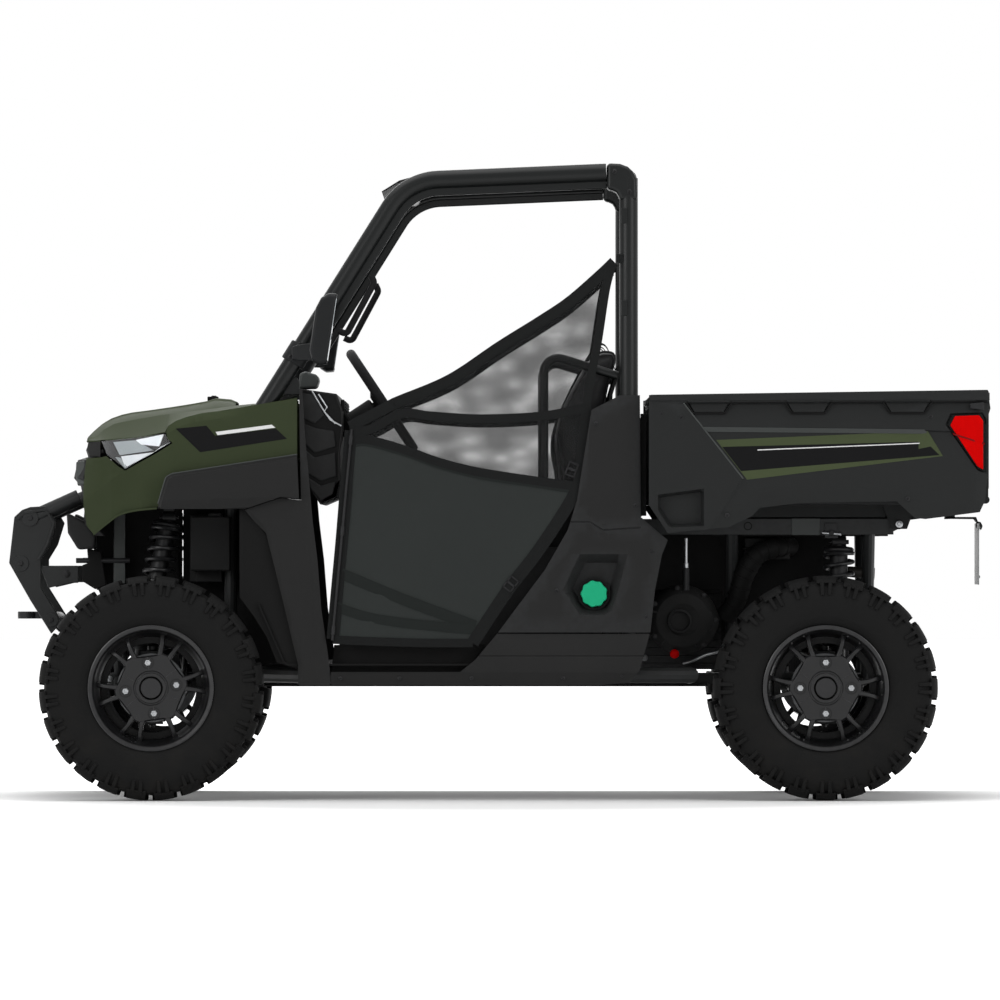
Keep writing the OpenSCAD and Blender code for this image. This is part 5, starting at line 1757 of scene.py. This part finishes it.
def headlight_lens():
    bm = flat(shrunk(HEADLIGHT[:2] + HEADLIGHT[3:6:2] + HEADLIGHT[7:8], 3))
    for x in (1040, 1070, 1100, 1130, 1160, 1185, 1205):
        cut(bm, (x, 1000), (x, 1130))
    return draped(bm, lambda x, z: lookup(x, FENDER_PLAN) - 5, 3)


def headlight_facets(shapes):
    """Flat mirrors inside the lamp, each set at its own slant; their white, grey and dark colours are
    painted reflections.
    """
    parts = []
    for outline, near, far in shapes:
        xs = [p[0] for p in outline]
        points = []
        for x, z in outline:
            t = (x - min(xs)) / (max(xs) - min(xs))
            points.append(headlight_at(x, z, near + (far - near) * t))
        parts.append(extrude(points, (-2, -3, 0)))
    return joined(*parts)


DECAL_BLACK = [(983, 1134), (889, 1143), (862, 1112), (677, 1134), (643, 1103), (908, 1062)]
DECAL_WHITE = [(861, 1124), (690, 1146), (678, 1137), (855, 1114)]


def on_fender(outline, out):
    bm = flat(outline)
    for x in range(620, 1000, 40):
        cut(bm, (x, 1040), (x, 1160))
    return draped(bm, lambda x, z: fender_depth(x, z) + out, 0.8)


def front_body():
    piece("hood_skin", hood_skin(), "olive_plastic", "hood", bevel=1.5, node="hood")
    latch = joined(block((868, -30, 1226), (902, 30, 1240)), block((874, -24, 1238), (890, 24, 1243)))
    piece("hood_latch", latch, "dark_plastic", "hood", bevel=3)
    barrels = joined(rod((1262, 140, 1104), (1262, 180, 1104), 12, 20), slab([(1257.5, 1104),
        (1262.5, 1104), (1262.5, 1116), (1257.5, 1120)], 140, 180))
    piece("hood_hinges", doubled(barrels), "dark_steel", "hood", bevel=0.4)
    ribs = [slab([(830, 1212), (1180, 1160), (1180, 1156), (830, 1204)], y - 3, y + 3)
        for y in (-240, -80, 80, 240)]
    piece("hood_ribs", ribs, "dark_plastic", "hood")
    pair("fender_side", fender_side(), "olive_plastic", node="front_fenders")
    pair("fender_shoulder", fender_deck(), "olive_plastic")
    pair("arch_lip", arch_lip(), "olive_plastic", bevel=1)
    pair("flare_shell", flare(), "black_plastic", bevel=1.2, node="fender_flares")
    pair("flare_return", flare_lip(), "dark_plastic", bevel=1)
    # A light strip along the flare's upper edge: a painted highlight.
    painted_highlight = [(1036, 905), (1012, 986), (994, 996), (612, 1055)]
    pair("flare_highlight_edge", tube(bend([(x, 712, z) for x, z in painted_highlight], 16), 5, 8), "edge_plastic")
    pair("cowl_cover", cowl_side(), "black_plastic", bevel=1, node="cowl_sides")
    pair("well_liner", well_liner(), "dark_plastic")
    piece("nose_skin", fascia(), "black_plastic", bevel=2, node="front_fascia")
    piece("grille_bars", grille(), "dark_plastic", bevel=1)
    pair("nose_cheek", capped_loft([[(1258, 470, 1094), (1217, 560, 1096), (1217, 540, 1096),
        (1250, 455, 1094)], [(1262, 466, 1072), (1217, 556, 1072), (1217, 536, 1072), (1250, 452, 1072)],
        [(1252, 478, 1050), (1217, 552, 1048), (1217, 532, 1048), (1244, 456, 1050)]]), "dark_plastic",
        bevel=2)
    pair("front_marker", capped_loft([[(1268, 470, 1038), (1296, 440, 1034), (1290, 430, 1034),
        (1262, 460, 1038)], [(1270, 468, 1000), (1298, 436, 1000), (1292, 426, 1000), (1264, 458, 1000)],
        [(1270, 462, 966), (1292, 434, 962), (1286, 424, 962), (1264, 452, 966)]]), "edge_plastic", bevel=3)
    pair("headlight_housing", headlight_housing(), "dark_plastic")
    pair("headlight_lens", headlight_lens(), "lens_clear")
    # Dark, grey and white facets: painted reflections inside the lamp.
    dark = [([(1214, 1096), (1192, 1095), (1160, 1054), (1196, 1054)], 18, 20)]
    pair("headlight_wedge", headlight_facets(dark), "dark_plastic")
    grey = [([(1176, 1094), (1110, 1099), (1052, 1068), (1156, 1054)], 18, 16),
        ([(1170, 1048), (1154, 1046), (1132, 1016), (1140, 1012)], 14, 16)]
    pair("headlight_reflection_grey", headlight_facets(grey), "painted_reflection_grey")
    white = [([(1106, 1100), (1020, 1117), (1034, 1080), (1090, 1086)], 14, 15),
        ([(1030, 1078), (1000, 1093), (1048, 1064)], 14, 12), ([(1152, 1050), (1050, 1062), (1138, 1016)],
        14, 14)]
    pair("headlight_reflection_white", headlight_facets(white), "painted_reflection_white", node="headlights")
    pair("fender_stripe_black", on_fender(DECAL_BLACK, 0.6), "stripe_black")
    pair("fender_stripe_white", on_fender(DECAL_WHITE, 0.9), "stripe_white")
    reservoir = joined(block((822, 376, 700), (944, 440, 866)), block((850, 380, 866), (890, 430, 876)))
    piece("washer_box", reservoir, "black_plastic", bevel=5, segments=3)


# ---- Bumper ----

def bumper():
    plate = [(1490, 865), (1466, 887), (1441, 896), (1389, 899), (1358, 847), (1379, 779), (1407, 733),
        (1407, 646), (1342, 542), (1376, 505), (1441, 609), (1506, 723)]
    pair("bumper_plate", slab(plate, 322, 332), "powder_coat", bevel=3, segments=3, node="front_bumper")
    folded = [(1480, 858), (1460, 878), (1392, 888), (1368, 846), (1388, 782), (1416, 735)]
    pair("bumper_flange", sweep([(x, 336, z) for x, z in folded], [(-4, -4), (4, -4), (4, 4), (-4, 4)]),
        "powder_coat", bevel=1)
    pair("bumper_hoop", rod((1290, 311, 926), (1428, 311, 864), 50, 28), "powder_coat")
    arm = [(1410, 714), (1293, 714), (1293, 662), (1318, 662), (1385, 646)]
    pair("bumper_arm", slab(arm, 300, 323), "powder_coat", bevel=2)
    bars = joined(rod((1440, -338, 862), (1440, 338, 862), 50, 32), rod((1470, -336, 722), (1470, 336, 722),
        50, 32), rod((1376, -336, 548), (1376, 336, 548), 44, 32))
    piece("bumper_bars", bars, "powder_coat")
    face = slab([(1452, 850), (1478, 740), (1484, 742), (1458, 852)], -240, 240)
    piece("bumper_face", face, "powder_coat", bevel=1.5)
    slot_frame = joined(*[slab([(1460, 840), (1476, 770), (1482, 772), (1466, 842)], y - 4, y + 4)
        for y in (-100, 100)])
    piece("bumper_face_ribs", slot_frame, "powder_coat", bevel=1)
    ring = hoop([(16, 0), (30, 0), (30, 22), (16, 22)], (1462, 0, 550), UP, 40)
    piece("tow_loop", [ring, block((1372, -16, 550), (1440, 16, 572))], "powder_coat", bevel=2)
    low_nose = [(1326, 878), (1262, 846), (1236, 806), (1240, 768), (1290, 764), (1322, 816)]
    pair("nose_corner", slab(low_nose, 296, 420), "black_plastic", bevel=9, segments=3)
    hanger = [(1266, 768), (1222, 760), (1206, 655), (1240, 642), (1282, 668), (1282, 716), (1262, 724)]
    pair("bumper_hanger", slab(hanger, 292, 328), "dark_plastic", bevel=4)
    # A lighter plate on the tower's tube: a painted highlight.
    pair("tower_highlight_plate", block((1148, 292, 660), (1183, 318, 874)), "edge_plastic", bevel=2)
    pair("bumper_bolts", bolts([(1440, 332, 862), (1470, 332, 722), (1376, 332, 548), (1330, 323, 690)],
        LEFT, 13), "dark_steel", bevel=0.4)
    pair("bumper_tie", rod((1133, 320, 731), (1300, 320, 731), 16, 16), "dark_steel")


front_body()
bumper()


# ---- Side panels ----

ROCKER = [(509, 352), (509, 391), (115, 391), (69, 428), (2, 508), (-464, 508), (-434, 398), (-404, 358),
    (-312, 352)]
QUARTER = [(-1, 512), (-144, 703), (-214, 825), (-242, 916), (-286, 1191), (-373, 1236), (-434, 1236),
    (-437, 864), (-519, 794), (-501, 748), (-480, 642), (-466, 512)]
FILLER = [(-251, 751), (-397, 751), (-352, 581), (-327, 565), (-251, 565), (-199, 642)]


def quarter(side):
    seams = grooves([(-216, 849), (-282, 849), (-321, 824), (-437, 832)], 6, 3)
    creases = [((-144, 703), (-250, 916)), ((-250, 916), (-290, 1188))]

    def depth(x, z):
        edge = lookup(z, [(512, -1), (703, -144), (825, -214), (916, -242), (1191, -286), (1236, -373)])
        back = lookup(z, [(512, -466), (642, -480), (748, -501), (794, -519), (864, -437), (1236, -434)])
        y = 706 - 0.5 * np.clip(12 - (edge - x), 0, 12) - 0.4 * np.clip(14 - (x - back), 0, 14)
        return y - 5 * np.clip((z - 840) / 20, 0, 1)

    features = list(seams)
    if side == "left":
        features.append((FILLER, -44, 26))
    return panel(QUARTER, depth, features, 5, 30, creases)


def rocker():
    def depth(x, z):
        return 706 - 0.45 * np.clip(392 - z, 0, 30) - 0.3 * np.clip(z - 470, 0, 40) * 0.4
    creases = [((509, 392), (-434, 392)), ((-464, 470), (40, 470))]
    return panel(ROCKER, depth, [groove((-450, 440), (60, 440), 5, 2)], 5, 34, creases)


def side_panels():
    tray = [(1252, 1070), (1120, 1098), (830, 1128), (830, 1123), (1120, 1093), (1252, 1065)]
    piece("under_hood_tray", slab(tray, -425, 425), "dark_plastic", bevel=1)
    pair("cab_rear_screen", slab([(-437, 868), (-437, 1180), (-454, 1180), (-454, 868)], 560, 660),
        "dark_plastic", bevel=1)
    well = [(509, 391), (115, 391), (69, 428), (40, 474), (500, 474)]
    pair("step_well", slab(well, 640, 646), "dark_plastic", bevel=1)
    piece("quarter_left", quarter("left"), "black_plastic", bevel=0.8, node="quarter_panels")
    piece("quarter_right", mirrored(quarter("right")), "black_plastic", bevel=0.8)
    pair("rocker", rocker(), "black_plastic", bevel=1, node="rocker_panels")
    lobes = []
    for k in range(72):
        a = 2 * pi * k / 72
        lobes.append(39.5 + 1.6 * cos(9 * a))
    rows = []
    for y, s in ((680, 0.9), (684, 1.0), (702, 1.0), (707, 0.95)):
        rows.append([(-294 + r * s * cos(2 * pi * k / 72), y, 630 + r * s * sin(2 * pi * k / 72)) for k,
            r in enumerate(lobes)])
    piece("filler_cap", capped_loft(rows), "cap_plastic", bevel=1.5, node="fuel_cap")
    piece("filler_collar", hoop([(43, -4), (50, -4), (50, 3), (43, 3)], (-294, 682, 630), LEFT, 48),
        "dark_plastic", bevel=0.8)
    piece("filler_neck", rod((-294, 640, 630), (-294, 684, 630), 66, 32), "dark_plastic")
    screws = [(-180, 706, 640), (-452, 703, 560), (-420, 701, 900), (-300, 701, 1150), (-470, 704, 760)]
    pair("quarter_screws", bolts(screws, LEFT, 7, True), "dark_steel")
    screws = [(480, 700, 372), (300, 700, 372), (80, 700, 372), (-200, 700, 372), (-380, 700, 380)]
    pair("rocker_screws", bolts(screws, LEFT, 7, True), "dark_steel")


side_panels()


# ---- Cargo bed ----

BED_SIDE = [(-461, 1236), (-1494, 1252), (-1503, 1196), (-1487, 1145), (-1487, 1007), (-1494, 992),
    (-1487, 916), (-1470, 879), (-1305, 858), (-1272, 861), (-1217, 912), (-921, 907), (-799, 892),
    (-775, 867), (-708, 834), (-519, 815), (-461, 901)]
TAIL_LIGHT = [(-1388, 1175), (-1470, 1178), (-1484, 1160), (-1484, 1003), (-1464, 1014), (-1372, 1145)]
STRIPE_GREEN = [(-666, 1099), (-1311, 1126), (-1357, 1050), (-760, 978)]
STRIPE_BLACK = [(-684, 1078), (-1304, 1094), (-1347, 1053), (-742, 1004)]
STRIPE_WHITE = [(-792, 1070), (-1322, 1092), (-1322, 1089), (-792, 1067)]
SCOOP = [(-488, 932), (-629, 951), (-629, 836), (-522, 832), (-488, 886)]
NOTCHES = [(-574, -714), (-875, -1019), (-1174, -1323)]


def bed_depth(x, z):
    """The bed side: a rolled rim, a recessed band, a ledge and a face folded below it."""
    ledge = lookup(x, [(-1500, 1124), (-1287, 1129), (-617, 1139), (-461, 1141)])
    rim_low = lookup(x, [(-1500, 1218), (-461, 1214)])
    shoulder = lookup(z, [(815, -640), (983, -745), (1206, -568), (1240, -560)])
    y = np.full(np.shape(x), 746.0)
    inside = np.clip((shoulder - x) / 10, 0, 1)
    y = y - 15 * np.clip((rim_low - z) / 4, 0, 1) * inside
    y = y + 0.20 * np.clip(rim_low - 4 - z, 0, 50) * inside
    y = y + 0.26 * np.clip(ledge + 28 - z, 0, 28) * inside
    y = y - 8 * np.clip((ledge - z) / 4, 0, 1) * inside
    slant = lookup(x, [(-1500, 1100), (-745, 983), (-600, 1180), (-461, 1190)])
    y = y - 0.05 * np.clip(slant - z, 0, 120)
    fold = lookup(x, [(-1500, 905), (-1272, 905), (-1217, 960), (-800, 940), (-708, 880), (-519, 862),
        (-461, 950)])
    y = y - 0.16 * np.clip(fold - z, 0, 60)
    y = y - 0.30 * np.clip(-1455 - x, 0, 60)
    return y


def notch(a, b):
    top, low = 1222, 1181
    return [(a, top), (a - 24, low), (b + 24, low), (b, top)]


def bed_panel():
    folds = [[(-461, 1214), (-1500, 1218)], [(-461, 1208), (-1500, 1212)], [(-461, 1141), (-617, 1139),
        (-1287, 1129), (-1500, 1124)], [(-461, 1136), (-617, 1134), (-1287, 1124), (-1500, 1119)],
        [(-745, 983), (-1500, 1100)], [(-568, 1206), (-745, 983)], [(-578, 1206), (-755, 983)],
        [(-745, 983), (-640, 815)], [(-755, 983), (-650, 815)], [(-461, 1167), (-1500, 1150)],
        [(-461, 1159), (-1500, 1142)], [(-461, 950), (-519, 862), (-708, 880), (-800, 940), (-1217, 960),
        (-1272, 905), (-1500, 905)], [(-1455, 850), (-1455, 1250)]]
    creases = [edge for line in folds for edge in zip(line, line[1:])]
    lamp = [(-1380, 1180), (-1478, 1184), (-1490, 1164), (-1490, 996), (-1462, 1006), (-1364, 1146)]
    features = [(notch(a, b), 9, 4) for a, b in NOTCHES]
    features += [(SCOOP, -34, 9), (lamp, -8, 5)]
    return panel(BED_SIDE, bed_depth, features, 5, 34, creases)


def bed_rim():
    """Rolled top rim, in one length down each side."""
    return slab([(-463, 1218), (-463, 1234), (-466, 1237), (-1492, 1252), (-1496, 1248), (-1500, 1220)],
        690, 750)


def bed_inner():
    """Inner wall with its stiffening ribs."""
    inner = slab([(-466, 1222), (-1490, 1236), (-1486, 905), (-470, 905)], 690, 694)
    ribs = [slab([(x, 930), (x - 40, 930), (x - 34, 1190), (x - 6, 1190)], 684, 692)
        for x in range(-560, -1400, -150)]
    return joined(inner, *ribs)


def on_bed(outline, out):
    bm = flat(outline)
    for x in range(-1340, -620, 60):
        cut(bm, (x, 960), (x, 1140))
    cut(bm, (-745, 983), (-1500, 1100))
    cut(bm, (-578, 1206), (-755, 983))
    return draped(bm, lambda x, z: bed_depth(x, z) + out, 0.8)


def lamp_lens(outline, out):
    return draped(flat(outline), lambda x, z: 752 - 0.30 * np.maximum(-1455 - x, 0) + out, 14)


def cargo_bed():
    pair("bed_side", bed_panel(), "bed_plastic", "cargo_bed", bevel=1.2, node="bed_sides")
    pair("bed_rim", bed_rim(), "bed_plastic", "cargo_bed", bevel=3.5, segments=3)
    # A light line along the shoulder's slanted edge: a painted highlight.
    edge = [(-566, 1212), (-748, 981)]
    pair("shoulder_highlight_line", tube([(x, 744.5, z) for x, z in edge], 5, 8), "edge_plastic", "cargo_bed")
    pair("bed_inner_wall", bed_inner(), "bed_plastic", "cargo_bed", bevel=2)
    lips = [[(a, 743, 1214), (a - 22, 742, 1181), (b + 22, 742, 1181), (b, 743, 1214)] for a, b in NOTCHES]
    rims = [[(-578, 743, 1214), (-874, 743, 1215)], [(-874, 743, 1215), (-1174, 743, 1216)],
        [(-1174, 743, 1216), (-1490, 743, 1218)]]
    pair("notch_lips", [tube(line, 6, 8) for line in lips + rims], "dark_plastic", "cargo_bed")
    # A light strip along the ledge: a painted highlight.
    ledge = [(-622, 1139), (-1300, 1131), (-1312, 1118), (-640, 1124)]
    pair("bed_ledge_highlight", on_bed(ledge, 2.0), "edge_plastic", "cargo_bed")
    keep_node("bed_floor", "bed_plastic", 1)
    piece("bed_rear_sill", block((-1450, -684, 905), (-1436, 684, 926)), "bed_plastic", "cargo_bed",
        bevel=2)
    ribs = [block((-1440, y - 9, 924), (-522, y + 9, 930)) for y in range(-640, 641, 80)]
    piece("bed_floor_ribs", ribs, "bed_plastic", "cargo_bed", bevel=2)
    ties = []
    for x in (-620, -1340):
        for y in (-655, 655):
            ties.append(hoop([(14, 0), (20, 0), (20, 6), (14, 6)], (x, y, 926), UP, 24))
    piece("tie_down_rings", ties, "zinc", "cargo_bed", bevel=0.8)
    front = joined(block((-512, -688, 903), (-468, 688, 1228)), block((-516, -688, 1216),
        (-464, 688, 1235)))
    piece("bed_front_wall_shell", front, "bed_plastic", "cargo_bed", bevel=4, segments=3,
        node="bed_front_wall")
    ribs = [block((-520, y - 16, 950), (-508, y + 16, 1200)) for y in range(-600, 601, 150)]
    ribs += [block((-470, y - 16, 930), (-461, y + 16, 1200)) for y in range(-600, 601, 150)]
    piece("bed_front_ribs", ribs, "bed_plastic", "cargo_bed", bevel=3)
    pair("stripe_green", on_bed(STRIPE_GREEN, 0.6), "stripe_green", "cargo_bed")
    pair("stripe_black", on_bed(STRIPE_BLACK, 0.9), "stripe_black", "cargo_bed")
    pair("stripe_white", on_bed(STRIPE_WHITE, 1.2), "stripe_white", "cargo_bed")
    pair("tail_light_lens", lamp_lens(scaled(TAIL_LIGHT, 0.9, 0.95), -1), "lens_red", "cargo_bed", bevel=3,
        segments=3, node="tail_lights")
    pair("tail_light_case", lamp_lens(TAIL_LIGHT, -6), "dark_plastic", "cargo_bed", bevel=1)
    bar = [(-1386, 1120), (-1484, 1090), (-1484, 1084), (-1390, 1114)]
    pair("tail_light_divider", lamp_lens(bar, 0.6), "lens_dark_red", "cargo_bed")
    screws = [(-500, 742, 1180), (-560, 742, 1168), (-1320, 738, 1170), (-700, 737, 870), (-1250, 735, 920)]
    pair("bed_screws", bolts(screws, LEFT, 8, True), "dark_steel", "cargo_bed")
    latch = joined(slab([(-1482, 1214), (-1440, 1210), (-1440, 1196), (-1482, 1190)], 744, 752))
    pair("tailgate_latch_plate", latch, "dark_steel", "cargo_bed", bevel=1.5)


def tailgate():
    gate = joined(block((-1498, -682, 919), (-1460, 682, 1240)), block((-1502, -682, 1222),
        (-1456, 682, 1244)), rod((-1490, -684, 917), (-1490, 684, 917), 24, 24))
    piece("tailgate_shell", gate, "bed_plastic", "tailgate", bevel=3, segments=3, node="tailgate")
    ribs = [block((-1502, y - 60, 950), (-1496, y + 60, 1200)) for y in (-560, -400, 400, 560)]
    ribs.append(block((-1502, -300, 950), (-1496, 300, 1130)))
    piece("tailgate_panels", ribs, "bed_plastic", "tailgate", bevel=4, segments=3)
    handle = joined(block((-1503, -90, 1160), (-1497, 90, 1210)), tube(bend([(-1498, -60, 1172),
        (-1506, -60, 1172), (-1506, 60, 1172), (-1498, 60, 1172)], 4), 9, 12))
    piece("tailgate_handle", handle, "dark_plastic", "tailgate", bevel=1.5)
    inside = [block((-1462, y - 9, 940), (-1452, y + 9, 1200)) for y in range(-600, 601, 120)]
    piece("tailgate_inner_ribs", inside, "bed_plastic", "tailgate", bevel=2)


def plate_holder():
    """Number plate blank on its bracket, with the lamp that lights it."""
    piece("plate_face", block((-1491, -150, 656), (-1488, 150, 846)), "plate_metal", "cargo_bed", bevel=0.8,
        node="plate_bracket")
    arm = slab([(-1390, 866), (-1486, 866), (-1492, 850), (-1486, 850), (-1480, 859), (-1390, 860)], -40,
        40)
    piece("plate_arm", [arm, block((-1420, -40, 860), (-1390, 40, 903))], "black_plastic", "cargo_bed",
        bevel=1)
    lamp = slab([(-1488, 853), (-1500, 850), (-1506, 838), (-1502, 826), (-1488, 830)], -45, 45)
    piece("plate_lamp", lamp, "black_plastic", "cargo_bed", bevel=2, segments=3)
    piece("plate_lamp_lens", block((-1500, -34, 824), (-1490, 34, 828)), "lens_clear", "cargo_bed",
        bevel=0.8)
    piece("plate_screws", bolts([(-1491, y, z) for y in (-90, 90) for z in (680, 832)], (-1, 0, 0), 7,
        True), "dull_zinc", "cargo_bed")


cargo_bed()
tailgate()
plate_holder()
